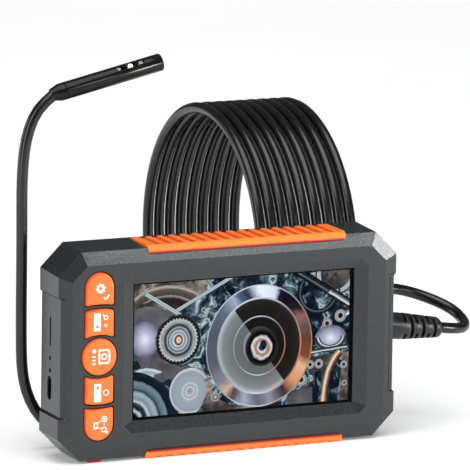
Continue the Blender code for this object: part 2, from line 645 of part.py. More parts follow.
def build_board(green, steel, black, clear, battery_wrap, foam, ivory):
    def draw_board(bm):
        left, right = BOARD_X
        low, high = MID_Z - BOARD_HALF_HEIGHT, MID_Z + BOARD_HALF_HEIGHT
        notch_x, notch = BOARD_NOTCH
        outline = [(left, low), (right, low), (right, EXIT_Z - notch), (notch_x, EXIT_Z - notch)]
        outline += [(notch_x, EXIT_Z + notch), (right, EXIT_Z + notch), (right, high), (left, high)]
        prism(bm, outline, *BOARD_Y)

    def draw_board_holes(bm):
        for x, z in BOARD_POSTS:
            for end in (-1, 1):
                hole = [(BOARD_Y[0] - OVERCUT, BOARD_SCREW_HOLE), (BOARD_Y[1] + OVERCUT, BOARD_SCREW_HOLE)]
                turned(bm, hole, 12, along_y(x, MID_Z + end * z))

    board = piece("main_board", draw_board, green)
    combine(board, "DIFFERENCE", helper("board_hole_cutter", draw_board_holes))

    def draw_usb(bm):
        wide, deep, long = USB_SIZE
        sizes = [(wide, deep), (wide - 0.0006, deep - 0.0006)]
        outer, inner = [moved(stadium(*size, 6), USB_Y, USB_Z) for size in sizes]
        back = USB_MOUTH + long
        stations = [(back, outer), (USB_MOUTH, outer), (USB_MOUTH, inner), (back - 0.0008, inner)]
        loft(bm, [at_side(outline, x) for x, outline in stations])

    def draw_tongue(bm):
        depth = (USB_Y - 0.00035, USB_Y + 0.00035)
        reach = (USB_MOUTH + 0.0012, USB_MOUTH + USB_SIZE[2] - 0.0004)
        block(bm, reach, depth, (USB_Z - 0.0033, USB_Z + 0.0033))

    socket = piece("usb_socket", draw_usb, steel)
    combine(socket, "UNION", helper("usb_tongue", draw_tongue))

    def draw_card_socket(bm):
        long, deep, wide = CARD_SOCKET_SIZE
        low, high = CARD_SOCKET_X, CARD_SOCKET_X + long
        outer = moved(rectangle(deep, wide), CARD_Y, CARD_Z)
        room = moved(rectangle(CARD_SIZE[1] + 2 * FINE_GAP, CARD_SIZE[2] + 2 * FINE_GAP), CARD_Y, CARD_Z)
        stations = [(high, outer), (low, outer), (low, room), (high - 0.0004, room)]
        loft(bm, [at_side(outline, x) for x, outline in stations])

    piece("card_socket", draw_card_socket, steel)

    def draw_card(bm):
        long, deep, wide = CARD_SIZE
        loft(bm, [
            at_side(moved(rectangle(deep, wide), CARD_Y, CARD_Z), CARD_MOUTH),
            at_side(moved(rectangle(deep, wide), CARD_Y, CARD_Z), CARD_MOUTH + long),
        ])

    piece("memory_card", draw_card, black, (CARD_MOUTH, CARD_Y, CARD_Z))

    def draw_light(bm):
        ends = [(x, CHARGE_LIGHT_RADIUS) for x in CHARGE_LIGHT_X]
        turned(bm, ends, 8, Matrix.Translation((0, PIN_HOLE_Y, LED_Z)))

    def draw_microphone(bm):
        wall = SIDE_WALL - HALF_WIDTH
        ends = [(wall + GAP, MICROPHONE_RADIUS), (wall + GAP + MICROPHONE_LENGTH, MICROPHONE_RADIUS)]
        turned(bm, ends, 12, Matrix.Translation((0, SOCKET_Y + MICROPHONE_RADIUS, MICROPHONE_Z)))

    piece("charge_light", draw_light, clear, smooth=True)
    piece("microphone", draw_microphone, steel, smooth=True)
    piece("battery_cell", lambda bm: block(bm, *BATTERY_BOX), battery_wrap)
    pad_x = (BATTERY_BOX[0][0] + BATTERY_PAD_INSET, BATTERY_BOX[0][1] - BATTERY_PAD_INSET)
    pad_z = (BATTERY_BOX[2][0] + BATTERY_PAD_INSET, BATTERY_BOX[2][1] - BATTERY_PAD_INSET)
    piece("battery_pad", lambda bm: block(bm, pad_x, BATTERY_PAD_Y, pad_z), foam)
    piece("camera_connector", lambda bm: block(bm, *CONNECTOR_BOX), ivory)


def build_power_switch(red, steel):
    wide, deep, thick = POWER_KNOB

    def draw_knob(bm):
        low = POWER_KNOB_LIFT
        ends, sides = POWER_KNOB_TAPER
        sole = rectangle(wide - 2 * ends, deep - 2 * sides, POWER_X, POWER_Y)
        top = rectangle(wide, deep, POWER_X, POWER_Y)
        loft(bm, [[(x, y, low) for x, y in sole], [(x, y, low + thick) for x, y in top]])

    def draw_stem(bm):
        half_x, half_y, reach = POWER_STEM[0] / 2, POWER_STEM[1] / 2, POWER_STEM[2]
        x_range, y_range = (POWER_X - half_x, POWER_X + half_x), (POWER_Y - half_y, POWER_Y + half_y)
        block(bm, x_range, y_range, (thick / 2, reach))

    knob = piece("power_switch", draw_knob, red, (POWER_X, POWER_Y, GRIP_PROUD))
    combine(knob, "UNION", helper("power_stem", draw_stem))

    def draw_body(bm):
        x, y, z_range = POWER_BODY
        x_range = (POWER_X + x[0], POWER_X + x[1] + POWER_TRAVEL)
        block(bm, x_range, (POWER_Y + y[0], POWER_Y + y[1]), z_range)

    piece("power_switch_body", draw_body, steel)


def screw(name, head, shank, matrix, finish):
    """A pan-headed screw along its own X, tip first, with a round drive recess. Sizes are (length, radius)."""
    head_long, head_radius = head
    long, radius = shank
    profile = [(-long, radius * 0.6), (0.0004 - long, radius), (0, radius), (0, head_radius)]
    profile += [(head_long * 0.7, head_radius), (head_long, head_radius * 0.8)]
    profile += [(head_long, head_radius * 0.4), (head_long * 0.5, head_radius * 0.3)]
    return piece(name, lambda bm: turned(bm, profile, 12, matrix), finish, smooth=True)


def build_screws(steel):
    number = 0
    for side in (-1, 1):
        for end in (-1, 1):
            number += 1
            place = along_y(side * CASE_BOSS[0], MID_Z + end * CASE_BOSS[1])
            seat = place @ Matrix.Translation((CASE_SEAT_Y + FINE_GAP, 0, 0))
            screw(f"case_screw_{number}", CASE_SCREW_HEAD, CASE_SCREW_SHANK, seat, steel)
    number = 0
    for x, z in BOARD_POSTS:
        for end in (-1, 1):
            number += 1
            seat = along_y(x, MID_Z + end * z) @ Matrix.Translation((BOARD_Y[1] + FINE_GAP, 0, 0))
            screw(f"board_screw_{number}", SMALL_SCREW_HEAD, BOARD_SCREW_SHANK, seat, steel)
    for number, end in enumerate((-1, 1), 1):
        place = along_y(CLAMP_X, EXIT_Z + end * CLAMP_POST_Z)
        seat = place @ Matrix.Translation((CLAMP_TOP_Y + FINE_GAP, 0, 0))
        screw(f"clamp_screw_{number}", SMALL_SCREW_HEAD, CLAMP_SCREW_SHANK, seat, steel)


def smooth_route(route, step):
    """Points in metres, evenly apart, on the natural cubic spline through a route in millimetres."""
    knots = [Vector(point) * MM for point in route]
    spans = [(b - a).length for a, b in zip(knots, knots[1:])]
    last = len(knots) - 1
    # The bend at each knot, by forward elimination of the spline's three-term equations.
    ratio, part = [0.0], [Vector()]
    for i in range(1, last):
        rise = (knots[i + 1] - knots[i]) / spans[i] - (knots[i] - knots[i - 1]) / spans[i - 1]
        scale = 2 * (spans[i - 1] + spans[i]) - spans[i - 1] * ratio[-1]
        part.append((3 * rise - spans[i - 1] * part[-1]) / scale)
        ratio.append(spans[i] / scale)
    bend = [Vector()] * (last + 1)
    for i in range(last - 1, 0, -1):
        bend[i] = part[i] - ratio[i] * bend[i + 1]
    total = sum(spans)
    count = math.ceil(total / step)
    points, piece_start, i = [], 0.0, 0
    for n in range(count + 1):
        along = total * n / count
        while i < last - 1 and along > piece_start + spans[i]:
            piece_start += spans[i]
            i += 1
        d, h = along - piece_start, spans[i]
        slope = (knots[i + 1] - knots[i]) / h - (2 * bend[i] + bend[i + 1]) * h / 3
        points.append(knots[i] + slope * d + bend[i] * d**2 + (bend[i + 1] - bend[i]) * d**3 / (3 * h))
    return points


def tube(name, points, diameter, finish):
    curve = bpy.data.curves.new(name, "CURVE")
    curve.dimensions = "3D"
    curve.bevel_depth = diameter / 2
    curve.bevel_resolution = CORD_SIDES
    curve.use_fill_caps = True
    spline = curve.splines.new("POLY")
    spline.points.add(len(points) - 1)
    for place, point in zip(spline.points, points):
        place.co = (*point, 1.0)
    spline.use_smooth = True
    obj = bpy.data.objects.new(name, curve)
    bpy.context.scene.collection.objects.link(obj)
    curve.materials.append(finish)
    return obj


def build_lead(rubber, cable, steel):
    start, length = BOOT_X[0], BOOT_X[1] - BOOT_X[0]
    thick, thin = BOOT_RADII
    inner_end, wall_face, flange = BOOT_FLANGE
    profile = [(inner_end, BOOT_BORE_RADIUS), (inner_end, flange), (wall_face, flange)]
    profile += [(wall_face, BOOT_NECK_RADIUS), (0.0, BOOT_NECK_RADIUS), (0.0, thick), (BOOT_STRAIGHT, thick)]
    profile += [(length - BOOT_CHAMFER[0], thin), (length, thin - BOOT_CHAMFER[1])]

    def draw_boot(bm):
        turned(bm, profile, 24, Matrix.Translation((start, 0, EXIT_Z)))
        for vert in bm.verts:
            vert.co.z -= BOOT_DROOP * max(0.0, vert.co.x - start)

    piece("strain_relief", draw_boot, rubber, (start, 0, EXIT_Z), True)
    tube("cable_lead", smooth_route(HANDSET_ROUTE, CORD_STEP), CORD_DIAMETER, cable)
    tube("probe_lead", smooth_route(PROBE_ROUTE, CORD_STEP), CORD_DIAMETER, cable)

    def draw_coil(bm):
        near, far = COIL_X
        inner, outer = COIL_RADIUS - CORD_DIAMETER / 2, COIL_RADIUS + CORD_DIAMETER / 2
        corner = COIL_CHAMFER
        section = [(near, inner + corner), (near + corner, inner), (far - corner, inner)]
        section += [(far, inner + corner), (far, outer - corner), (far - corner, outer)]
        section += [(near + corner, outer), (near, outer - corner)]
        turned_ring(bm, section, COIL_STEPS, Matrix.Translation((0, COIL_Y, outer)))

    piece("cable_coil", draw_coil, cable, smooth=True)
    tube("inner_lead", smooth_route(INNER_ROUTE, CORD_STEP / 2), INNER_LEAD_DIAMETER, cable)

    def draw_clamp(bm):
        foot, arch, room, half = CLAMP_FOOT_Y, CLAMP_ARCH_Y, CLAMP_ROOM, CLAMP_HALF_HEIGHT
        below = [(foot, -half), (foot, -1.5 * room), (0.0, -1.2 * room), (arch, -0.7 * room)]
        above = [(y, -z) for y, z in reversed(below)]
        outline = below + above + [(CLAMP_TOP_Y, half), (CLAMP_TOP_Y, -half)]
        ends = (CLAMP_X - CLAMP_WIDTH / 2, CLAMP_X + CLAMP_WIDTH / 2)
        loft(bm, [at_side(moved(outline, 0, EXIT_Z), x) for x in ends])

    def draw_clamp_holes(bm):
        for side in (-1, 1):
            hole = [(CLAMP_FOOT_Y - OVERCUT, SMALL_SCREW_HOLE), (CLAMP_TOP_Y + OVERCUT, SMALL_SCREW_HOLE)]
            turned(bm, hole, 8, along_y(CLAMP_X, EXIT_Z + side * CLAMP_POST_Z))

    clamp = piece("cable_clamp", draw_clamp, steel)
    combine(clamp, "DIFFERENCE", helper("clamp_hole_cutter", draw_clamp_holes))


def build_probe(black, glass, board, lens, lamp):
    frame = Matrix.Translation(PROBE_TAIL) @ Matrix.Rotation(-PROBE_TILT, 4, "Y")
    facing = frame @ Matrix.Rotation(math.radians(90) - SIDE_FACING, 4, "X")
    # In this frame the side lens looks along +Z.

    def side_disc(along, radius, low, high):
        place = facing @ Matrix.Translation((along, 0, 0)) @ Matrix.Rotation(math.radians(-90), 4, "Y")
        return lambda bm: turned(bm, [(low, radius), (high, radius)], 12, place)

    inner, outer = SLEEVE_BORE, PROBE_RADIUS
    sleeve = [(SLEEVE_START, inner), (SLEEVE_START, outer), (PROBE_LENGTH - 0.0004, outer)]
    sleeve += [(PROBE_LENGTH, outer - 0.0003), (PROBE_LENGTH, inner)]
    tube_piece = piece("probe_sleeve", lambda bm: turned_ring(bm, sleeve, 24, frame), black, smooth=True)

    def draw_aperture(bm):
        long, wide = SIDE_APERTURE
        outline = moved(stadium(long, wide, 5), 0, SIDE_LENS_ALONG)
        loft(bm, [[facing @ Vector((a, b, z)) for b, a in outline] for z in (0.0020, 0.0045)])

    combine(tube_piece, "DIFFERENCE", helper("aperture_cutter", draw_aperture))
    bore = inner - FINE_GAP
    tail_end, tail_radius = TAIL_FACE
    tail = [(tail_end, tail_radius), (TAIL_SHOULDER, outer), (SLEEVE_START - FINE_GAP, outer)]
    tail += [(SLEEVE_START - FINE_GAP, bore), (TAIL_SPIGOT_END, bore)]
    piece("probe_tail", lambda bm: turned(bm, tail, 24, frame), black, smooth=True)
    window = [(PROBE_LENGTH - depth, bore) for depth in WINDOW_DEPTHS]
    piece("front_window", lambda bm: turned(bm, window, 24, frame), glass, smooth=True)
    near, far = [PROBE_LENGTH - depth for depth in LED_BOARD_DEPTHS]
    ring = [(near, LED_BOARD_HOLE), (near, bore), (far, bore), (far, LED_BOARD_HOLE)]
    piece("front_led_board", lambda bm: turned_ring(bm, ring, 24, frame), lamp, smooth=True)
    barrel = [(PROBE_LENGTH - depth, radius) for depth, radius in FRONT_CAMERA]
    piece("front_camera", lambda bm: turned(bm, barrel, 20, frame), lens, smooth=True)
    piece("side_camera", side_disc(SIDE_LENS_ALONG, *SIDE_CAMERA), lens, smooth=True)
    for number, along in enumerate(SIDE_LED_ALONG, 1):
        piece(f"side_led_{number}", side_disc(along, *SIDE_LED), lamp, smooth=True)

    def draw_probe_board(bm):
        near, far = PROBE_BOARD_X
        outline = rectangle(far - near, PROBE_BOARD_WIDTH, (near + far) / 2, 0)
        loft(bm, [[facing @ Vector((x, y, z)) for x, y in outline] for z in PROBE_BOARD_HEIGHTS])

    piece("probe_board", draw_probe_board, board)


def main():
    clear_scene()
    dark = material("shell_plastic", (0.065, 0.075, 0.075), 0.55)
    orange = material("orange_rubber", (1.0, 0.24, 0.05), 0.5)
    red = material("red_plastic", (0.38, 0.01, 0.015), 0.35)
    black = material("black_plastic", (0.012, 0.012, 0.013), 0.35)
    glass = material("clear_glass", (0.9, 0.95, 1.0), 0.03, transmission=0.9)
    steel = material("plated_steel", (0.6, 0.6, 0.62), 0.3, 1.0)
    green = material("board_green", (0.02, 0.16, 0.06), 0.45)
    foam = material("black_foam", (0.02, 0.02, 0.02), 0.95)
    silicone = material("key_silicone", (0.2, 0.2, 0.2), 0.7)
    wrap = material("battery_wrap", (0.1, 0.2, 0.45), 0.4)
    ivory = material("connector_nylon", (0.8, 0.78, 0.7), 0.5)
    cable = material("cable_jacket", (0.01, 0.01, 0.011), 0.25)
    anodised = material("probe_black", (0.012, 0.012, 0.013), 0.3, 0.6)
    rubber = material("boot_rubber", (0.012, 0.012, 0.012), 0.4)
    lamp = material("led_yellow", (0.9, 0.8, 0.35), 0.3)
    build_shells(dark)
    build_grips(orange)
    build_screen(glass, black, steel, foam)
    build_keys(orange, silicone, steel)
    build_board(green, steel, black, clear=glass, battery_wrap=wrap, foam=foam, ivory=ivory)
    build_power_switch(red, steel)
    build_screws(steel)
    build_lead(rubber, cable, steel)
    build_probe(anodised, glass, green, black, lamp)


main()
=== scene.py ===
"""Inspection camera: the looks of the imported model. Lengths are in metres, in the model's own frame."""

import json
import math

import bmesh
import bpy
from mathutils import Matrix, Vector


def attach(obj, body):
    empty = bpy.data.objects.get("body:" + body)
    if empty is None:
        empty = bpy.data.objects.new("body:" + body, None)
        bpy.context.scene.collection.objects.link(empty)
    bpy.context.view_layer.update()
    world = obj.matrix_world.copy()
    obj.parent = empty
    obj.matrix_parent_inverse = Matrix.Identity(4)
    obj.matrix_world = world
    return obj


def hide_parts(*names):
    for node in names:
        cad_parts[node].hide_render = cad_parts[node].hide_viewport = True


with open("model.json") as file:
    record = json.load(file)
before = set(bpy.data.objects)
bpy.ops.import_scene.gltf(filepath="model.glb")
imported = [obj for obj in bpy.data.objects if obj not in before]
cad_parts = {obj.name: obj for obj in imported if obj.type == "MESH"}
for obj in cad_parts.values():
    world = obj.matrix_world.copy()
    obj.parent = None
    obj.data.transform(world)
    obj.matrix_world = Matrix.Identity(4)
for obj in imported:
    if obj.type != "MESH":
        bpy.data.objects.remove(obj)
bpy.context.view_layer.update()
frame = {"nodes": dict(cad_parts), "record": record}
nodes = frame["nodes"]

MM = 0.001
MID_Z = 0.0427
SCREEN_X = 0.0071


def add_object(name, data):
    obj = bpy.data.objects.new(name, data)
    bpy.context.scene.collection.objects.link(obj)
    return obj


def mesh_from(name, bm):
    mesh = bpy.data.meshes.new(name)
    bm.to_mesh(mesh)
    bm.free()
    return mesh


# Camera.

AZIMUTH = math.radians(-24.843)
ELEVATION = math.radians(10.519)
ROLL = math.radians(0.813)
AIM = Vector((0.0019, -0.0095, 0.0869))
DISTANCE = 1.9633
SENSOR_WIDTH = 36
FOCAL_LENGTH = 383


def add_camera():
    back = Vector((
        math.sin(AZIMUTH) * math.cos(ELEVATION),
        -math.cos(AZIMUTH) * math.cos(ELEVATION),
        math.sin(ELEVATION),
    ))
    level = Vector((math.cos(AZIMUTH), math.sin(AZIMUTH), 0))
    upward = back.cross(level)
    right = level * math.cos(ROLL) + upward * math.sin(ROLL)
    up = upward * math.cos(ROLL) - level * math.sin(ROLL)
    data = bpy.data.cameras.new("camera")
    data.sensor_width = SENSOR_WIDTH
    data.lens = FOCAL_LENGTH
    data.clip_start = 0.05
    camera = add_object("camera", data)
    facing = Matrix((right, up, back)).transposed().to_4x4()
    camera.matrix_world = Matrix.Translation(AIM + back * DISTANCE) @ facing
    bpy.context.scene.camera = camera


add_camera()


# The lead. Routes and the coil are in millimetres, and the cord's own measures in metres.

CORD_DIAMETER = 0.0045
CORD_STEP = 0.0042
CORD_SIDES = 4
HANDSET_ROUTE = (
    (98.3, 0.0, 41.0), (103.0, 0.2, 40.3), (107.6, 1.8, 39.7), (111.6, 5.2, 39.4), (114.4, 10.1, 39.8),
    (115.6, 16.0, 41.1), (114.6, 22.0, 43.2), (111.0, 27.6, 45.5), (104.9, 31.5, 48.0),
    (96.6, 33.4, 50.5), (88.4, 32.8, 51.2), (81.0, 30.9, 48.6), (76.0, 29.1, 43.2),
)
PROBE_ROUTE = (
    (21.9, 20.2, 31.0), (15.0, 21.0, 20.2), (4.0, 22.0, 10.6), (-9.5, 22.8, 4.9), (-24.0, 23.2, 2.7),
    (-40.0, 23.0, 2.55), (-53.5, 22.5, 4.4), (-63.6, 22.1, 9.4), (-70.6, 22.0, 17.8), (-74.4, 22.0, 28.5),
    (-75.5, 22.0, 42.0), (-75.6, 22.0, 66.0), (-75.6, 22.0, 92.0), (-75.4, 22.0, 112.0),
    (-73.4, 22.0, 126.0), (-68.6, 22.0, 136.0), (-62.6, 22.0, 141.3),
)
INTO_COIL = (73.0, 28.6, 35.0)
OUT_OF_COIL = (25.2, 19.6, 41.6)
COIL_RADIUS = 60.0
COIL_CENTRE = (78.2, 62.25)
COIL_START_X = 68.5
COIL_PITCH = 5.008
COIL_TURNS = 8
COIL_ANGLES = (-142, 190 + 360 * COIL_TURNS)
COIL_STEP = 20
COIL_TOP = 90


def coil_route():
    """The helix of the coil, about X. COIL_START_X is where its first turn passes the top."""
    first, last = COIL_ANGLES
    count = round((last - first) / COIL_STEP)
    points = []
    for i in range(count + 1):
        turn = first + (last - first) * i / count
        angle = math.radians(turn)
        points.append((
            COIL_START_X - COIL_PITCH * (turn - COIL_TOP) / 360,
            COIL_CENTRE[0] + COIL_RADIUS * math.cos(angle),
            COIL_CENTRE[1] + COIL_RADIUS * math.sin(angle),
        ))
    return tuple(points)


def smooth_route(route, step):
    """Points in metres, evenly apart, on the natural cubic spline through a route in millimetres."""
    knots = [Vector(point) * MM for point in route]
    spans = [(b - a).length for a, b in zip(knots, knots[1:])]
    last = len(knots) - 1
    ratio, part = [0.0], [Vector()]
    for i in range(1, last):
        rise = (knots[i + 1] - knots[i]) / spans[i] - (knots[i] - knots[i - 1]) / spans[i - 1]
        scale = 2 * (spans[i - 1] + spans[i]) - spans[i - 1] * ratio[-1]
        part.append((3 * rise - spans[i - 1] * part[-1]) / scale)
        ratio.append(spans[i] / scale)
    bend = [Vector()] * (last + 1)
    for i in range(last - 1, 0, -1):
        bend[i] = part[i] - ratio[i] * bend[i + 1]
    total = sum(spans)
    count = math.ceil(total / step)
    points, piece_start, i = [], 0.0, 0
    for n in range(count + 1):
        along = total * n / count
        while i < last - 1 and along > piece_start + spans[i]:
            piece_start += spans[i]
            i += 1
        d, h = along - piece_start, spans[i]
        slope = (knots[i + 1] - knots[i]) / h - (2 * bend[i] + bend[i + 1]) * h / 3
        points.append(knots[i] + slope * d + bend[i] * d**2 + (bend[i + 1] - bend[i]) * d**3 / (3 * h))
    return points


def tube(name, points, diameter):
    curve = bpy.data.curves.new(name, "CURVE")
    curve.dimensions = "3D"
    curve.bevel_depth = diameter / 2
    curve.bevel_resolution = CORD_SIDES
    curve.use_fill_caps = True
    spline = curve.splines.new("POLY")
    spline.points.add(len(points) - 1)
    for place, point in zip(spline.points, points):
        place.co = (*point, 1.0)
    spline.use_smooth = True
    return add_object(name, curve)


lead_route = HANDSET_ROUTE + (INTO_COIL,) + coil_route() + (OUT_OF_COIL,) + PROBE_ROUTE
lead = tube("lead", smooth_route(lead_route, CORD_STEP), CORD_DIAMETER)


# Materials.


def link(material, start, output, end, socket):
    material.node_tree.links.new(start.outputs[output], end.inputs[socket])


def node(material, kind, **values):
    made = material.node_tree.nodes.new("ShaderNode" + kind)
    for name, value in values.items():
        made.inputs[name.replace("_", " ")].default_value = value
    return made


def ramp(material, stops):
    made = node(material, "ValToRGB")
    elements = made.color_ramp.elements
    for place, colour in stops[2:]:
        elements.new(place)
    for element, (place, colour) in zip(elements, stops):
        element.position = place
        element.color = (*colour, 1.0)
    return made


def new_material(name, **values):
    material = bpy.data.materials.new(name)
    material.use_nodes = True
    shader = material.node_tree.nodes["Principled BSDF"]
    for key, value in values.items():
        shader.inputs[key.replace("_", " ")].default_value = value
    return material, shader


def noise(material, **values):
    """Noise that is fixed to the object."""
    cloud = node(material, "TexNoise", **values)
    link(material, node(material, "TexCoord"), "Object", cloud, "Vector")
    return cloud


def coloured(material, cloud, stops, shader):
    colours = ramp(material, stops)
    link(material, cloud, "Fac", colours, "Fac")
    link(material, colours, "Color", shader, "Base Color")


def roughened(material, cloud, rough, shader):
    spread = node(material, "MapRange", From_Min=0.3, From_Max=0.7, To_Min=rough[0], To_Max=rough[1])
    link(material, cloud, "Fac", spread, "Value")
    link(material, spread, "Result", shader, "Roughness")


def bumped(material, cloud, height, shader):
    bump = node(material, "Bump", Strength=1.0, Distance=height)
    link(material, cloud, "Fac", bump, "Height")
    link(material, bump, "Normal", shader, "Normal")


def surface(name, dark, light, rough, mottle, relief=None, **values):
    """A material mottled between two colours. mottle is a size in metres, and relief a size and a height."""
    material, shader = new_material(name, **values)
    cloud = noise(material, Scale=1 / mottle, Detail=4.0, Roughness=0.6)
    coloured(material, cloud, [(0.35, dark), (0.65, light)], shader)
    roughened(material, cloud, rough, shader)
    if relief:
        size, height = relief
        bumped(material, noise(material, Scale=1 / size, Detail=2.0), height, shader)
    return material


def grey(level):
    return (level, level, level)


shell_plastic = surface(
    "shell_plastic", (0.009, 0.0130, 0.0135), (0.015, 0.020, 0.0205), (0.26, 0.33),
    0.0007, (0.00045, 0.00003), Specular_IOR_Level=0.62,
)
jacket = surface(
    "cable_jacket", grey(0.003), grey(0.006), (0.22, 0.28),
    0.004, (0.0012, 0.00001), Specular_IOR_Level=0.5,
)
boot_rubber = surface("boot_rubber", grey(0.009), grey(0.015), (0.32, 0.42), 0.003, (0.0006, 0.00002))
probe_black = surface(
    "probe_black", grey(0.006), grey(0.010), (0.14, 0.20),
    0.006, (0.002, 0.000005), Specular_IOR_Level=0.2,
)
steel = surface("plated_steel", grey(0.45), grey(0.6), (0.25, 0.38), 0.001, (0.0003, 0.00001), Metallic=1.0)
foam = surface("black_foam", grey(0.012), grey(0.03), (0.9, 1.0), 0.0008, (0.0005, 0.0001))
black_plastic = surface("black_plastic", grey(0.008), grey(0.014), (0.25, 0.38), 0.002, (0.0008, 0.00001))
silicone = surface("key_silicone", grey(0.15), grey(0.2), (0.6, 0.75), 0.003, (0.0008, 0.00002))
board_green = surface(
    "board_green", (0.012, 0.10, 0.035), (0.02, 0.16, 0.06), (0.3, 0.45), 0.002, (0.0008, 0.00002),
)
# Near black, with little shine: painted shadow inside the window and in the charging socket's hole, and the
# probe's board.
black_and_shadow = surface(
    "black_and_shadow", grey(0.001), grey(0.003), (0.7, 0.8), 0.002, Specular_IOR_Level=0.05,
)
wrap = surface("battery_wrap", (0.07, 0.15, 0.36), (0.1, 0.2, 0.45), (0.28, 0.4), 0.006, (0.002, 0.00003))
nylon = surface(
    "connector_nylon", (0.68, 0.66, 0.58), (0.8, 0.78, 0.7), (0.4, 0.55), 0.002, (0.0006, 0.00001),
)
red_plastic = surface(
    "red_plastic", (0.42, 0.004, 0.010), (0.52, 0.008, 0.014), (0.3, 0.4), 0.002, (0.0006, 0.00001),
)
white_paint = surface(
    "key_print", (0.88, 0.88, 0.87), (0.97, 0.97, 0.96), (0.45, 0.6), 0.001, (0.0003, 0.000005),
)
lamp_yellow = surface(
    "lamp_yellow", (0.85, 0.78, 0.35), (1.0, 0.95, 0.6), (0.2, 0.3), 0.0006,
    Emission_Color=(1.0, 0.95, 0.7, 1.0), Emission_Strength=0.6,
)
lamp_off = surface("lamp_off", (0.22, 0.21, 0.17), (0.32, 0.31, 0.26), (0.15, 0.25), 0.0006)
# The side camera's lens glows, though it is no lamp: a painted glint of light on it.
painted_lens_glint = surface(
    "painted_lens_glint", (0.85, 0.80, 0.50), (1.0, 0.95, 0.7), (0.1, 0.2), 0.0006,
    Emission_Color=(1.0, 0.93, 0.68, 1.0), Emission_Strength=1.0,
)


def clear_material(name, tint):
    """Its refraction is kept low, so that its shine doesn't veil the picture behind it."""
    material, shader = new_material(name, Transmission_Weight=1.0, IOR=1.08, Roughness=0.02)
    coloured(material, noise(material, Scale=60.0, Detail=2.0), [(0.3, tint), (0.7, grey(1.0))], shader)
    return material


glass = clear_material("clear_glass", (0.96, 0.98, 1.0))

# The deeper reds of painted shade, from light to deepest.
SHADE_REDS = ((0.5, (0.72, 0.070, 0.012)), (0.8, (0.45, 0.014, 0.002)), (1.0, (0.16, 0.003, 0.001)))


def orange_material(name, dark, light):
    """Orange rubber, with painted shade: an attribute from 0 to 1 turns it a deeper red, in grooves and on
    rims.
    """
    material, shader = new_material(name, Specular_IOR_Level=0.4)
    cloud = noise(material, Scale=700.0, Detail=3.0)
    colours = ramp(material, [(0.35, dark), (0.65, light)])
    link(material, cloud, "Fac", colours, "Fac")
    # The mesh attribute that holds how much painted shade each point has.
    depth = node(material, "Attribute")
    depth.attribute_name = "groove_shade"
    shade_reds = ramp(material, SHADE_REDS)
    link(material, depth, "Fac", shade_reds, "Fac")
    shade_share = node(material, "MapRange", From_Max=0.5)
    link(material, depth, "Fac", shade_share, "Value")
    shade = node(material, "Mix")
    shade.data_type = "RGBA"
    plain_in, shaded_in = [s for s in shade.inputs if s.type == "RGBA"]
    colour_out = [s for s in shade.outputs if s.type == "RGBA"][0]
    link(material, shade_share, "Result", shade, "Factor")
    material.node_tree.links.new(colours.outputs["Color"], plain_in)
    material.node_tree.links.new(shade_reds.outputs["Color"], shaded_in)
    material.node_tree.links.new(colour_out, shader.inputs["Base Color"])
    roughened(material, cloud, (0.42, 0.52), shader)
    bumped(material, cloud, 0.00002, shader)
    return material


grip_orange = orange_material("grip_orange", (0.93, 0.195, 0.020), (1.0, 0.25, 0.034))
key_orange = orange_material("key_orange", (0.93, 0.160, 0.020), (1.0, 0.200, 0.034))

SLOT_FINISHES = {
    "shell_plastic": shell_plastic, "orange_rubber": key_orange, "clear_glass": glass, "black_foam": foam,
    "black_plastic": black_plastic, "plated_steel": steel, "key_silicone": silicone,
    "board_green": board_green, "battery_wrap": wrap, "connector_nylon": nylon, "red_plastic": red_plastic,
    "cable_jacket": jacket, "boot_rubber": boot_rubber, "probe_black": probe_black,
    "led_yellow": lamp_yellow,
}
# Nodes that look unlike the rest of their slot. The side camera's lens glows as a painted glint, and the
# charging socket is near black as painted shade in its hole.
NODE_FINISHES = {
    "side_camera": painted_lens_glint, "side_led_1": lamp_off, "side_led_2": lamp_off,
    "probe_board": black_and_shadow, "usb_socket": black_and_shadow,
}


def finish_nodes():
    for part in frame["record"]["subparts"]:
        name = part["node"]
        data = nodes[name].data
        data.materials.clear()
        data.materials.append(NODE_FINISHES.get(name, SLOT_FINISHES[part["material_slot"]]))


finish_nodes()


# Drawing pieces.

SMOOTH_ANGLE = math.radians(40)
ROUND_STEPS = 64


def piece(name, bm, material, body="housing", replaced=(), smooth=True):
    mesh = mesh_from(name, bm)
    if smooth:
        mesh.shade_smooth()
        mesh.set_sharp_from_angle(angle=SMOOTH_ANGLE)
    obj = add_object(name, mesh)
    for each in material if isinstance(material, list) else [material]:
        mesh.materials.append(each)
    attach(obj, body)
    if replaced:
        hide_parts(*replaced)
    return obj


def arc(centre, radius, start, end, steps):
    """Points of a circular arc, angles in degrees."""
    turns = [math.radians(start + (end - start) * i / steps) for i in range(steps + 1)]
    return [(centre[0] + radius * math.cos(t), centre[1] + radius * math.sin(t)) for t in turns]


def circle(centre, radius, steps):
    return arc(centre, radius, 0, 360 - 360 / steps, steps - 1)


def rectangle(left, right, low, high):
    return [(left, low), (right, low), (right, high), (left, high)]


def loft(bm, sections):
    """A body through outlines that have the same number of points, closed at both ends."""
    loops = [[bm.verts.new(point) for point in section] for section in sections]
    count = len(loops[0])
    faces = [bm.faces.new(loops[0]), bm.faces.new(list(reversed(loops[-1])))]
    for near, far in zip(loops, loops[1:]):
        for i in range(count):
            j = (i + 1) % count
            faces.append(bm.faces.new((near[j], near[i], far[i], far[j])))
    bmesh.ops.recalc_face_normals(bm, faces=faces)
    return loops


def ring_body(bm, sections):
    """A body with a hole through it: each outline joins the next, and the last joins the first."""
    loops = [[bm.verts.new(point) for point in section] for section in sections]
    count = len(loops[0])
    faces = []
    for near, far in zip(loops, loops[1:] + loops[:1]):
        for i in range(count):
            j = (i + 1) % count
            faces.append(bm.faces.new((near[i], near[j], far[j], far[i])))
    bmesh.ops.recalc_face_normals(bm, faces=faces)


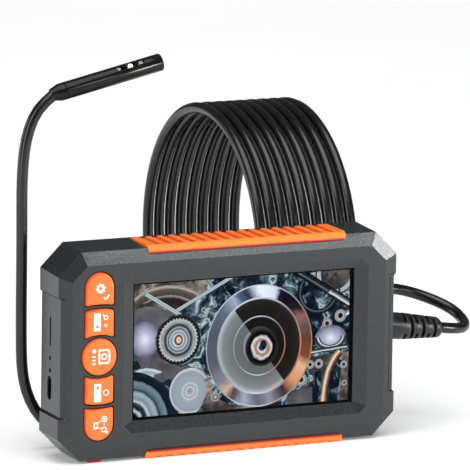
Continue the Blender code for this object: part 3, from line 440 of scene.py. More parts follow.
def turned(bm, profile, matrix, body=loft):
    """A round body about its own X, from (along, radius) pairs."""
    body(bm, [
        [matrix @ Vector((along, radius * y, radius * z)) for y, z in circle((0, 0), 1.0, ROUND_STEPS)]
        for along, radius in profile
    ])


def cut(obj, draw):
    """Cuts a drawn shape out of a piece, for good."""
    bm = bmesh.new()
    draw(bm)
    cutter = add_object("cutter", mesh_from("cutter", bm))
    boolean = obj.modifiers.new("cut", "BOOLEAN")
    boolean.object = cutter
    apply_modifiers(obj)
    bpy.data.objects.remove(cutter)


def apply_modifiers(obj):
    graph = bpy.context.evaluated_depsgraph_get()
    made = bpy.data.meshes.new_from_object(obj.evaluated_get(graph))
    obj.modifiers.clear()
    obj.data = made


# Housing: the model's own shells with their outer edges rounded.

# A point is on the outside of the housing when it is past one of these.
OUTSIDE_X = 0.0700
OUTSIDE_Z = 0.0390
OUTSIDE_FRONT = -0.0080
OUTSIDE_BACK = 0.0090
WELD = 0.000002
FLAT_ANGLE = math.radians(0.5)
ROUNDED_ANGLE = 9
ROUNDED_LENGTH = 0.0022
SHARP_ANGLE = 25


def on_outside(point):
    past_end = abs(point.x) > OUTSIDE_X or abs(point.z - MID_Z) > OUTSIDE_Z
    return past_end or point.y < OUTSIDE_FRONT or point.y > OUTSIDE_BACK


def softened(source, name, width):
    """A copy of a shell with its long outer edges rounded."""
    bm = bmesh.new()
    bm.from_mesh(nodes[source].data)
    bmesh.ops.remove_doubles(bm, verts=bm.verts, dist=WELD)
    bmesh.ops.dissolve_limit(bm, angle_limit=FLAT_ANGLE, verts=bm.verts, edges=bm.edges)
    weight = bm.edges.layers.float.new("bevel_weight_edge")
    for edge in bm.edges:
        if len(edge.link_faces) != 2:
            continue
        angle = math.degrees(edge.calc_face_angle(0))
        outer = all(on_outside(vert.co) for vert in edge.verts)
        if angle > ROUNDED_ANGLE and edge.calc_length() > ROUNDED_LENGTH and outer:
            edge[weight] = 1.0
        elif angle > SHARP_ANGLE:
            edge.smooth = False
    obj = piece(name, bm, shell_plastic, replaced=[source], smooth=False)
    for polygon in obj.data.polygons:
        polygon.use_smooth = True
    bevel = obj.modifiers.new("bevel", "BEVEL")
    bevel.limit_method = "WEIGHT"
    bevel.width = width
    bevel.segments = 3
    normals = obj.modifiers.new("normals", "WEIGHTED_NORMAL")
    normals.keep_sharp = True


softened("front_shell", "housing_front", 0.00045)
softened("rear_shell", "housing_rear", 0.00040)


# Grips: ribs from front to back, ending in a smooth lip over the front bevel. The grooves and the lip's
# underside carry painted shade, as a deeper red. Lengths are in millimetres, and heights are from the middle
# of the housing.

GRIP_X = 7.2
GRIP_HALF = 42.8
GRIP_STEP = 0.22
RIB_PITCH = 5.0
RIB_DEPTH = 0.50
RIB_END = 1.2
GROOVE_HALF = 1.30
GROOVE_EDGE = 0.45
# Painted shade in the grooves, as a share of the deepest red.
GROOVE_SHADE = 0.55
CREST = 42.70
LIP_END = 1.7
LIP_BACK_Y = -8.8
LIP_FRONT_Y = -9.7
LIP_END_Y = -9.55
LIP_END_HEIGHT = 41.9
# The lip rounds off at its ends: how much of that its back, its height and its Y take.
BACK_SHARE, HEIGHT_SHARE, Y_SHARE = 0.5, 0.85, 0.5
NOTCH_FRONT_Y = -8
NOTCH_HEIGHT = 41.2
NOTCH_DEPTH = 0.9
# Below and in front of these, the lip's underside is painted in the deepest red, as its shadow.
UNDERSIDE_Y = -10
UNDERSIDE_HEIGHT = 39.75
# (Y, height, how ribbed) from under the lip to behind the back edge.
GRIP_PATH = (
    (-9.60, 39.30, 0), (-10.35, 39.12, 0), (-10.68, 39.28, 0), (-10.76, 39.60, 0), (-10.66, 40.50, 0),
    (-10.48, 41.35, 0), (-10.20, 42.00, 0), (-9.80, 42.42, 0), (-9.30, 42.62, 0), (-8.90, CREST, 0.15),
    (-8.55, CREST, 0.55), (-8.20, CREST, 0.85), (-7.80, CREST, 1),
    *[(-7.0 + 1.2 * i, CREST, 1) for i in range(12)],
    (7.80, 42.66, 1), (8.20, 42.45, 1), (8.38, 42.05, 1), (8.40, 41.20, 0.6), (8.40, 40.60, 0),
)


def within(value):
    return min(1.0, max(0.0, value))


def grip(name, side):
    """The upper grip where side is 1, and the lower one, with notches under its lip, where it is -1."""
    stations = round(2 * GRIP_HALF / GRIP_STEP)
    sections, shade_levels = [], []
    for i in range(stations + 1):
        x = -GRIP_HALF + 2 * GRIP_HALF * i / stations
        end = max(0.0, (abs(x) - (GRIP_HALF - LIP_END)) / LIP_END)
        rise = 1 - math.sqrt(max(0.0, 1 - end**2))
        offset = (x / RIB_PITCH) % 1 - 0.5
        # The groove's profile across each rib: it sets both the groove's depth and its painted shade.
        groove_shade = within((GROOVE_HALF - abs(offset) * RIB_PITCH) / GROOVE_EDGE + 0.5)
        groove_shade *= 1.0 if abs(x) < GRIP_HALF - RIB_END else 0.0
        section = []
        for y, height, ribbed in GRIP_PATH:
            if y < LIP_BACK_Y:
                lift = rise * (1 if y < LIP_FRONT_Y else BACK_SHARE)
                height = height + (LIP_END_HEIGHT - height) * lift * HEIGHT_SHARE
                y = y + (LIP_END_Y - y) * lift * Y_SHARE
            low = groove_shade * ribbed
            notched = side < 0 and y < NOTCH_FRONT_Y
            notch = groove_shade * within(height - NOTCH_HEIGHT) * NOTCH_DEPTH if notched else 0.0
            tall = height - RIB_DEPTH * max(low, notch)
            section.append(Vector((GRIP_X + x, y, MID_Z / MM + side * tall)) * MM)
            # Painted shade: a deeper red in the grooves, and the deepest red under the lip as its shadow.
            shadowed_underside = height < UNDERSIDE_HEIGHT and y < UNDERSIDE_Y
            shade_levels.append(max(low * GROOVE_SHADE, 1.0 if shadowed_underside else 0.0))
        sections.append(section)
    bm = bmesh.new()
    depth = bm.verts.layers.float.new("groove_shade")
    loft(bm, sections)
    for vert, shade_level in zip(bm.verts, shade_levels):
        vert[depth] = shade_level
    cad = "top_grip" if side > 0 else "bottom_grip"
    piece(name, bm, grip_orange, replaced=[cad])


grip("grip_ribbed_top", 1)
grip("grip_ribbed_bottom", -1)


# Keys: crowned, with white symbols set in their faces, and painted shade as a deeper red on their rims, most
# on the left and top. Outlines are in metres from the round key's centre.

KEY_X = -0.0563
KEY_W = 0.00615
KEY_FACE_Y = -0.01150
KEY_CROWN = 0.00022
ROUND_KEY_RADIUS = 0.00745
# The foot and the top of the upper two keys. The lower two are the same, turned over.
END_KEY = (0.0203, 0.0335)
MIDDLE_KEY = (0.0076, 0.0191)
OUTLINE_STEP = 0.0008
MOST_SPLITS = 4


def dense(outline):
    """More points on each side of an outline."""
    made = []
    for (ax, az), (bx, bz) in zip(outline, outline[1:] + outline[:1]):
        count = max(1, min(MOST_SPLITS, round(math.hypot(bx - ax, bz - az) / OUTLINE_STEP)))
        for i in range(count):
            made.append((ax + (bx - ax) * i / count, az + (bz - az) * i / count))
    return made


def end_key_outline():
    w, (low, high) = KEY_W, END_KEY
    corner, hollow = 0.0008, 0.0004
    outline = arc((0, high - w), w, 0, 180, 28)
    outline += arc((corner - w, low + corner), corner, 180, 270, 5)
    outline += [(-w / 2, low + hollow * 0.7), (0, low + hollow), (w / 2, low + hollow * 0.7)]
    return dense(outline + arc((w - corner, low + corner), corner, 270, 360, 5))


def middle_key_outline():
    w, (low, high) = KEY_W, MIDDLE_KEY
    corner, crown, hollow = 0.0010, 0.0005, 0.0010
    small = corner * 0.6
    outline = arc((w - corner, high - crown - corner), corner, 0, 90, 5)
    outline += [(w / 2, high - 0.0001), (0, high), (-w / 2, high - 0.0001)]
    outline += arc((corner - w, high - crown - corner), corner, 90, 180, 5)
    outline += arc((small - w, low + small), small, 180, 270, 4)
    outline += [(-w / 2, low + hollow * 0.75), (0, low + hollow), (w / 2, low + hollow * 0.75)]
    return dense(outline + arc((w - small, low + small), small, 270, 360, 4))


def turned_over(outline):
    return [(-x, -z) for x, z in outline]


# How far in from the edge a ring is, and how far its face stands back, in metres.
KEY_RINGS = (
    (0.0, 0.00540), (0.0, 0.00080), (0.00005, 0.00052), (0.00018, 0.00028), (0.00038, 0.00012),
    (0.00062, 0.00003), (0.00090, -0.00002),
)
# The shares of the outline at which the crown of the face is drawn.
CROWN_SHARES = (0.75, 0.55, 0.3)
# The painted shade of each ring as a deeper red, from the back, and how much of that is only on the shaded
# side, to the left and up.
RIM_SHADES = ((0.7, 0), (0.7, 0), (0.7, 0), (0.65, 0.5), (0.55, 1), (0.35, 1))
SHADED_SIDE = (-0.9, 0.5)
SHADE_SPREAD = 1.2


def key(name, node_name, outline):
    cx = sum(x for x, _ in outline) / len(outline)
    cz = sum(z for _, z in outline) / len(outline)
    reach = min(math.hypot(x - cx, z - cz) for x, z in outline)
    rings = [(1 - inset / reach, KEY_FACE_Y + back) for inset, back in KEY_RINGS]
    for share in CROWN_SHARES:
        rings.append((share, KEY_FACE_Y + KEY_RINGS[-1][1] - KEY_CROWN * (1 - share**2)))
    bm = bmesh.new()
    depth = bm.verts.layers.float.new("groove_shade")
    loops = loft(bm, [
        [(KEY_X + cx + (x - cx) * share, y, MID_Z + cz + (z - cz) * share) for x, z in outline]
        for share, y in rings
    ])
    # Painted shade on the rims, all round on the walls and stronger towards the shaded side.
    for loop, (shade_level, sided) in zip(loops, RIM_SHADES):
        for vert, (x, z) in zip(loop, outline):
            towards = (x - cx) * SHADED_SIDE[0] + (z - cz) * SHADED_SIDE[1]
            facing = within(towards / math.hypot(x - cx, z - cz) * SHADE_SPREAD)
            vert[depth] = shade_level * (1 - sided + sided * facing)
    piece(name, bm, key_orange, node_name, [node_name])


key("key_menu", "menu_button", end_key_outline())
key("key_zoom", "zoom_button", middle_key_outline())
key("key_shutter", "shutter_button", circle((0, 0), ROUND_KEY_RADIUS, ROUND_STEPS))
key("key_rotate", "rotate_button", turned_over(middle_key_outline()))
key("key_lens", "lens_button", turned_over(end_key_outline()))


# Key symbols, in millimetres in the front view. They reach from inside the key to just before its face.

SYMBOL_BACK_Y = -11.40
SYMBOL_FRONT_Y = -11.78
DISC_STEPS = 24
TOOTH_STEPS = 6


class Symbols:
    """Flat white shapes on one key, joined as one piece."""

    def __init__(self):
        self.bm = bmesh.new()

    def outline(self, points, y):
        return [Vector((x, y, z)) * MM for x, z in points]

    def plate(self, points):
        loft(self.bm, [self.outline(points, y) for y in (SYMBOL_FRONT_Y, SYMBOL_BACK_Y)])

    def band(self, outer, inner):
        """A closed outline with a hole in it, both of the same number of points."""
        ring_body(self.bm, [
            self.outline(outer, SYMBOL_FRONT_Y), self.outline(outer, SYMBOL_BACK_Y),
            self.outline(inner, SYMBOL_BACK_Y), self.outline(inner, SYMBOL_FRONT_Y),
        ])

    def bar(self, x, z, width, height, turn=0.0):
        c, s = math.cos(math.radians(turn)), math.sin(math.radians(turn))
        corners = rectangle(-width / 2, width / 2, -height / 2, height / 2)
        self.plate([(x + a * c - b * s, z + a * s + b * c) for a, b in corners])

    def disc(self, x, z, radius):
        self.plate(circle((x, z), radius, DISC_STEPS))

    def ring(self, x, z, outer, inner, sides=DISC_STEPS, turn=0):
        end = turn + 360 - 360 / sides
        self.band(*[arc((x, z), radius, turn, end, sides - 1) for radius in (outer, inner)])

    def gear(self, x, z, outer, root, hole, teeth):
        points = []
        count = teeth * TOOTH_STEPS
        for i in range(count):
            radius = outer if i % TOOTH_STEPS < TOOTH_STEPS / 2 else root
            angle = 2 * math.pi * i / count
            points.append((x + radius * math.cos(angle), z + radius * math.sin(angle)))
        self.band(points, circle((x, z), hole, count))

    def done(self, name, body):
        piece(name, self.bm, white_paint, body, smooth=False)


def add_symbols():
    menu = Symbols()
    menu.gear(-56.2, 69.9, 2.10, 1.55, 0.75, 8)
    menu.bar(-54.35, 65.75, 0.55, 1.5, 40)
    menu.bar(-53.35, 66.25, 0.55, 2.5, -35)
    menu.done("symbol_menu", "menu_button")

    zoom = Symbols()
    zoom.band(rectangle(-58.9, -56.1, 53.1, 60.1), rectangle(-58.0, -57.0, 54.2, 55.4))
    zoom.ring(-53.9, 58.3, 0.95, 0.55)
    zoom.bar(-54.9, 59.2, 0.4, 1.0, 45)
    zoom.bar(-54.0, 55.2, 1.5, 0.45)
    zoom.bar(-54.0, 55.2, 0.45, 1.5)
    zoom.done("symbol_zoom", "zoom_button")

    shutter = Symbols()
    shutter.band([(-56.9, 39.9), (-52.6, 39.9), (-51.9, 41.1), (-51.9, 44.5), (-52.6, 45.7), (-56.9, 45.7)],
                 [(-56.2, 40.6), (-53.1, 40.6), (-52.6, 41.5), (-52.6, 44.1), (-53.1, 45.0), (-56.2, 45.0)])
    shutter.ring(-54.5, 42.8, 1.35, 0.75)
    shutter.disc(-58.7, 45.2, 0.80)
    for z in (42.9, 41.5, 40.1):
        shutter.bar(-58.8, z, 1.3, 0.6)
    shutter.done("symbol_shutter", "shutter_button")

    rotate = Symbols()
    rotate.band(rectangle(-58.6, -55.7, 24.9, 32.1), rectangle(-57.7, -56.6, 29.9, 31.1))
    rotate.ring(-53.6, 28.4, 1.35, 0.95, 6, 30)
    rotate.done("symbol_rotate", "rotate_button")

    lens = Symbols()
    lens.ring(-54.2, 17.9, 1.25, 0.85)
    lens.disc(-54.2, 17.9, 0.40)
    lens.band(rectangle(-58.7, -56.8, 14.2, 16.8), rectangle(-58.2, -57.3, 14.8, 16.2))
    lens.ring(-54.3, 13.7, 1.15, 0.75)
    lens.disc(-53.1, 12.6, 0.5)
    lens.bar(-56.1, 17.0, 0.35, 1.1, -60)
    lens.bar(-56.0, 14.3, 0.35, 1.0, 60)
    lens.bar(-54.2, 15.8, 0.35, 0.9)
    lens.done("symbol_lens", "lens_button")


add_symbols()


# Small housing trim: a near-black band inside the window as painted shadow of its recess, wider at the right
# and bottom, and a raised line along the bevel at each end.

# The left, right, low and high sides of each rectangle, from the middle of the screen.
WINDOW_OUTER = (-0.04781, 0.04781, -0.02721, 0.02721)
# The inner edge lies further in at the right and bottom, where the painted shadow is wider.
WINDOW_INNER = (-0.0474, 0.0465, -0.0264, 0.0268)
WINDOW_Y = (-0.00816, -0.00702)
BEVEL_LINE_X = 0.0703
BEVEL_LINE_Y = -0.01012
# (Z, radius) along the bevel line.
BEVEL_LINE = (
    (0.0200, 0.0001), (0.0206, 0.00045), (0.0220, 0.00022), (0.0420, 0.00018), (0.0640, 0.00022),
    (0.0652, 0.00028), (0.0658, 0.0001),
)


def add_trim():
    front, back = WINDOW_Y
    sections = ((WINDOW_OUTER, front), (WINDOW_OUTER, back), (WINDOW_INNER, back), (WINDOW_INNER, front))
    bm = bmesh.new()
    ring_body(bm, [[(SCREEN_X + x, y, MID_Z + z) for x, z in rectangle(*sides)] for sides, y in sections])
    # The band is painted shadow of the window's recess.
    piece("window_shadow", bm, black_and_shadow, smooth=False)
    for name, side in (("bevel_line_left", -1), ("bevel_line_right", 1)):
        bm = bmesh.new()
        loft(bm, [
            [(side * (BEVEL_LINE_X + x), BEVEL_LINE_Y + y, z) for x, y in circle((0, 0), radius, 8)]
            for z, radius in BEVEL_LINE
        ])
        piece(name, bm, shell_plastic)


add_trim()


# Screen picture: a plain scene of machinery, drawn as thin coloured layers behind the window. Lengths are in
# millimetres from the middle of the picture.

PICTURE = (94.8, 53.6)
PICTURE_Y = -6.46
PICTURE_CONTRAST = 1.12
LAYER = 0.006
RING_STEP = 5
CURVE_STEPS = 10


def tone(text):
    """The linear colour of a screen colour such as "#8090a0"."""
    levels = [(int(text[i:i + 2], 16) / 255) ** PICTURE_CONTRAST for i in (1, 3, 5)]
    return tuple(v / 12.92 if v <= 0.04045 else ((v + 0.055) / 1.055) ** 2.4 for v in levels)


def glowing(name, axis, waver, size, stops):
    """A material that shows its own light, graded along an axis of its map, or by noise if that is None."""
    material, shader = new_material(name, Roughness=0.6, Emission_Strength=1.0, Specular_IOR_Level=0.0)
    shader.inputs["Base Color"].default_value = (0, 0, 0, 1)
    cloud = noise(material, Scale=1 / size, Detail=6.0, Roughness=0.62, Distortion=0.9)
    colours = ramp(material, [(place, tone(colour)) for place, colour in stops])
    if axis:
        split = node(material, "SeparateXYZ")
        link(material, node(material, "TexCoord"), "UV", split, "Vector")
        shift = node(material, "MapRange", From_Min=0.25, From_Max=0.75, To_Min=-waver, To_Max=waver)
        link(material, cloud, "Fac", shift, "Value")
        add = node(material, "Math")
        link(material, split, axis, add, 0)
        link(material, shift, "Result", add, 1)
        link(material, add, "Value", colours, "Fac")
    else:
        link(material, cloud, "Fac", colours, "Fac")
    link(material, colours, "Color", shader, "Emission Color")
    return material


# Each has the axis of its map that it is graded along, its waver, the size of its noise, and its stops.
PICTURE_LOOKS = {
    "block": (None, 0.0, 0.0075, (
        (0.30, "#04080f"), (0.42, "#16222e"), (0.49, "#33444f"), (0.54, "#6f8791"), (0.58, "#c8dade"),
        (0.61, "#5d7078"), (0.66, "#202c38"), (0.74, "#8c9ba6"),
    )),
    "rust": (None, 0.0, 0.014, (
        (0.30, "#1a1818"), (0.44, "#4c4746"), (0.52, "#7d7671"), (0.58, "#b3aaa2"), (0.64, "#5f5a57"),
        (0.74, "#2c2928"),
    )),
    "cover": ("Y", 0.015, 0.004, (
        (0.0, "#8a888f"), (0.50, "#7c787b"), (0.62, "#4b4442"), (0.72, "#2a2625"), (0.80, "#37312e"),
        (0.83, "#a39c96"), (0.85, "#4a4340"), (0.94, "#6a625c"), (0.97, "#b9b4ab"), (1.0, "#8d877f"),
    )),
    "deep": (None, 0.0, 0.006, (
        (0.30, "#02050c"), (0.46, "#0d1a2a"), (0.55, "#22384c"), (0.60, "#7fa0b4"), (0.64, "#16283a"),
        (0.75, "#050a12"),
    )),
    "shade": (None, 0.0, 0.02, ((0.3, "#3b3a3f"), (0.5, "#5b5a60"), (0.7, "#77767e"))),
    "chrome": ("X", 0.02, 0.01, (
        (0.00, "#70483c"), (0.04, "#6a5a5c"), (0.08, "#9a6c68"), (0.11, "#2a1e28"), (0.15, "#100c1e"),
        (0.18, "#1c1e3a"), (0.20, "#d8e2f0"), (0.25, "#f0f5fc"), (0.27, "#a8b4c8"), (0.29, "#24344a"),
        (0.32, "#5a6c84"), (0.34, "#a8b8ca"), (0.38, "#667486"), (0.47, "#5b6570"), (0.55, "#666a74"),
        (0.60, "#8d8c9a"), (0.635, "#d9b9a6"), (0.665, "#5a4a52"), (0.70, "#aeb2c6"), (0.745, "#6f7284"),
        (0.79, "#9c9aa6"), (0.83, "#2c2634"), (0.865, "#d69a74"), (0.93, "#e8bd98"), (0.965, "#8a5138"),
        (1.00, "#7a4a3c"),
    )),
    "rim": ("X", 0.03, 0.004, (
        (0.0, "#c98f70"), (0.12, "#8f8f99"), (0.25, "#d8dde6"), (0.42, "#b9c4cc"), (0.6, "#8f9aa0"),
        (0.74, "#d4dde2"), (0.86, "#b98468"), (1.0, "#c98f70"),
    )),
    "dark_bowl": ("Y", 0.01, 0.004, (
        (0.0, "#050505"), (0.30, "#0d0c0b"), (0.40, "#4a4c4c"), (0.43, "#161513"), (0.62, "#1f1d1b"),
        (0.9, "#26231f"), (1.0, "#383430"),
    )),
    "grey_bowl": ("Y", 0.01, 0.004, (
        (0.0, "#2b2c2d"), (0.30, "#5c5f61"), (0.38, "#9ba1a3"), (0.41, "#6d7173"), (0.62, "#747879"),
        (0.9, "#8d9293"), (1.0, "#b9c0c2"),
    )),
    "hub": ("Y", 0.14, 0.003, (
        (0.0, "#1a1c22"), (0.22, "#31343e"), (0.34, "#e8ecf2"), (0.5, "#8e9098"), (0.66, "#c8865e"),
        (0.82, "#dfe4ea"), (1.0, "#4a4e58"),
    )),
    "pulley": ("Y", 0.03, 0.004, (
        (0.0, "#3a3a40"), (0.12, "#b9c2ca"), (0.2, "#5c6873"), (0.3, "#d8e0e6"), (0.42, "#7d8a95"),
        (0.52, "#c2ccd4"), (0.62, "#46525c"), (0.7, "#aeb9c2"), (0.78, "#22282e"), (0.9, "#5f6b73"),
        (1.0, "#b4c0c6"),
    )),
    "disc": ("Y", 0.02, 0.004, (
        (0.0, "#8f979d"), (0.16, "#a9b1b7"), (0.2, "#d3dade"), (0.26, "#9ba4aa"), (0.38, "#c8cfd3"),
        (0.44, "#a7afb6"), (0.92, "#9ba6b3"), (0.97, "#e4e9ea"), (1.0, "#6f6860"),
    )),
    "stripes": ("Y", 0.02, 0.004, (
        (0.0, "#0a0f16"), (0.08, "#8fa0aa"), (0.13, "#05080d"), (0.22, "#0b121b"), (0.27, "#c7d2d8"),
        (0.32, "#121c28"), (0.40, "#33465a"), (0.44, "#c4d2d8"), (0.50, "#7f929c"), (0.60, "#a9bac0"),
        (0.66, "#2b3a46"), (0.70, "#5f7580"), (0.80, "#7d929a"), (0.84, "#101a26"), (1.0, "#1b2a3a"),
    )),
    "tube": ("Y", 0.05, 0.004, (
        (0.0, "#0c0e12"), (0.2, "#3c4248"), (0.34, "#f2f5f6"), (0.46, "#aab2b8"), (0.7, "#3a4046"),
        (1.0, "#08090c"),
    )),
    "hose": ("Y", 0.06, 0.004, (
        (0.0, "#07090c"), (0.25, "#1d242b"), (0.42, "#6d7a84"), (0.55, "#242c34"), (1.0, "#05060a"),
    )),
    "strut": ("Y", 0.08, 0.004, (
        (0.0, "#42525a"), (0.25, "#c2d2d6"), (0.6, "#93a7ae"), (0.85, "#d3e0e2"), (1.0, "#32424c"),
    )),
    "copper": ("Y", 0.06, 0.004, (
        (0.0, "#1a1210"), (0.2, "#c9a98e"), (0.4, "#f0e6da"), (0.6, "#a8714e"), (0.8, "#5d3a28"),
        (1.0, "#120c0a"),
    )),
    "glow": ("Y", 0.10, 0.004, ((0.0, "#eceefa"), (0.45, "#b9bbd2"), (1.0, "#6c6a80"))),
    "bolt": ("Y", 0.04, 0.004, (
        (0.0, "#0a0b0e"), (0.30, "#2e1d15"), (0.42, "#8d7c70"), (0.60, "#c9cfd2"), (0.75, "#6d7478"),
        (0.90, "#b9c0c4"), (1.0, "#23282d"),
    )),
}
PICTURE_FINISHES = {name: glowing("picture_" + name, *looks) for name, looks in PICTURE_LOOKS.items()}


class Picture:
    """Flat shapes in thin layers, each nearer the viewer than the last."""

    def __init__(self):
        self.bm = bmesh.new()
        self.map = self.bm.loops.layers.uv.new("picture")
        self.names = list(PICTURE_FINISHES)
        self.depth = PICTURE_Y

    def face(self, corners, places, finish):
        spots = [Vector((SCREEN_X / MM + x, self.depth, MID_Z / MM + z)) * MM for x, z in corners]
        made = self.bm.faces.new([self.bm.verts.new(spot) for spot in spots])
        made.material_index = self.names.index(finish)
        for loop, place in zip(made.loops, places):
            loop[self.map].uv = place

    def layer(self):
        self.depth -= LAYER

    def plain(self, corners, finish):
        self.layer()
        self.face(corners, [(x / PICTURE[0] + 0.5, z / PICTURE[1] + 0.5) for x, z in corners], finish)

    def ring(self, centre, inner, outer, finish, start=0, end=360, squeeze=1.0, spread=(0.0, 1.0), tooth=0.0):
        """Its map runs round it along X, and along Y from its inner to its outer edge, or part of the way."""
        self.layer()
        steps = max(6, round((end - start) / RING_STEP))
        low, high = spread
        points = []
        for i in range(steps + 1):
            turn = math.radians(start + (end - start) * i / steps)
            reach = outer + tooth * (i % 2)
            points.append((math.cos(turn) * squeeze, math.sin(turn), reach, turn / (2 * math.pi)))
        for (ax, az, ar, au), (bx, bz, br, bu) in zip(points, points[1:]):
            corners = [(bx, bz, inner, bu, 0), (bx, bz, br, bu, 1), (ax, az, ar, au, 1)]
            if inner > 0:
                corners.insert(0, (ax, az, inner, au, 0))
            self.face(
                [(centre[0] + x * r, centre[1] + z * r) for x, z, r, _, _ in corners],
                [(u, low + (high - low) * v) for _, _, _, u, v in corners], finish,
            )

    def band(self, line, width, finish):
        """A strip along a line, its map running across it along Y."""
        self.layer()
        line = [Vector(point) for point in line]
        sides = []
        for i, point in enumerate(line):
            along = (line[min(i + 1, len(line) - 1)] - line[max(i - 1, 0)]).normalized()
            across = Vector((-along.y, along.x)) * width / 2
            sides.append((point - across, point + across))
        for i, ((a, b), (d, c)) in enumerate(zip(sides, sides[1:])):
            u, w = i / (len(line) - 1), (i + 1) / (len(line) - 1)
            self.face((a, d, c, b), ((u, 0), (w, 0), (w, 1), (u, 1)), finish)

    def bolt(self, x, z, radius):
        self.ring((x, z), 0, radius, "bolt")

    def done(self):
        for axis, width in (((1, 0, 0), PICTURE[0]), ((0, 0, 1), PICTURE[1])):
            for outward in (Vector(axis), -Vector(axis)):
                edge = Vector((SCREEN_X, 0, MID_Z)) + outward * (width / 2 * MM)
                everything = self.bm.verts[:] + self.bm.edges[:] + self.bm.faces[:]
                bmesh.ops.bisect_plane(
                    self.bm, geom=everything, plane_co=edge, plane_no=outward, clear_outer=True,
                )
        for made in self.bm.faces:
            made.normal_update()
            if made.normal.y > 0:
                made.normal_flip()
        finishes = list(PICTURE_FINISHES.values())
        piece("screen_picture", self.bm, finishes, smooth=False)


def curve_line(start, through, end):
    """Points on a smooth bend from start to end, drawn towards a third point."""
    made = []
    for i in range(CURVE_STEPS + 1):
        t = i / CURVE_STEPS
        near, mid, far = (1 - t)**2, 2 * t * (1 - t), t * t
        made.append([near * a + mid * b + far * c for a, b, c in zip(start, through, end)])
    return made


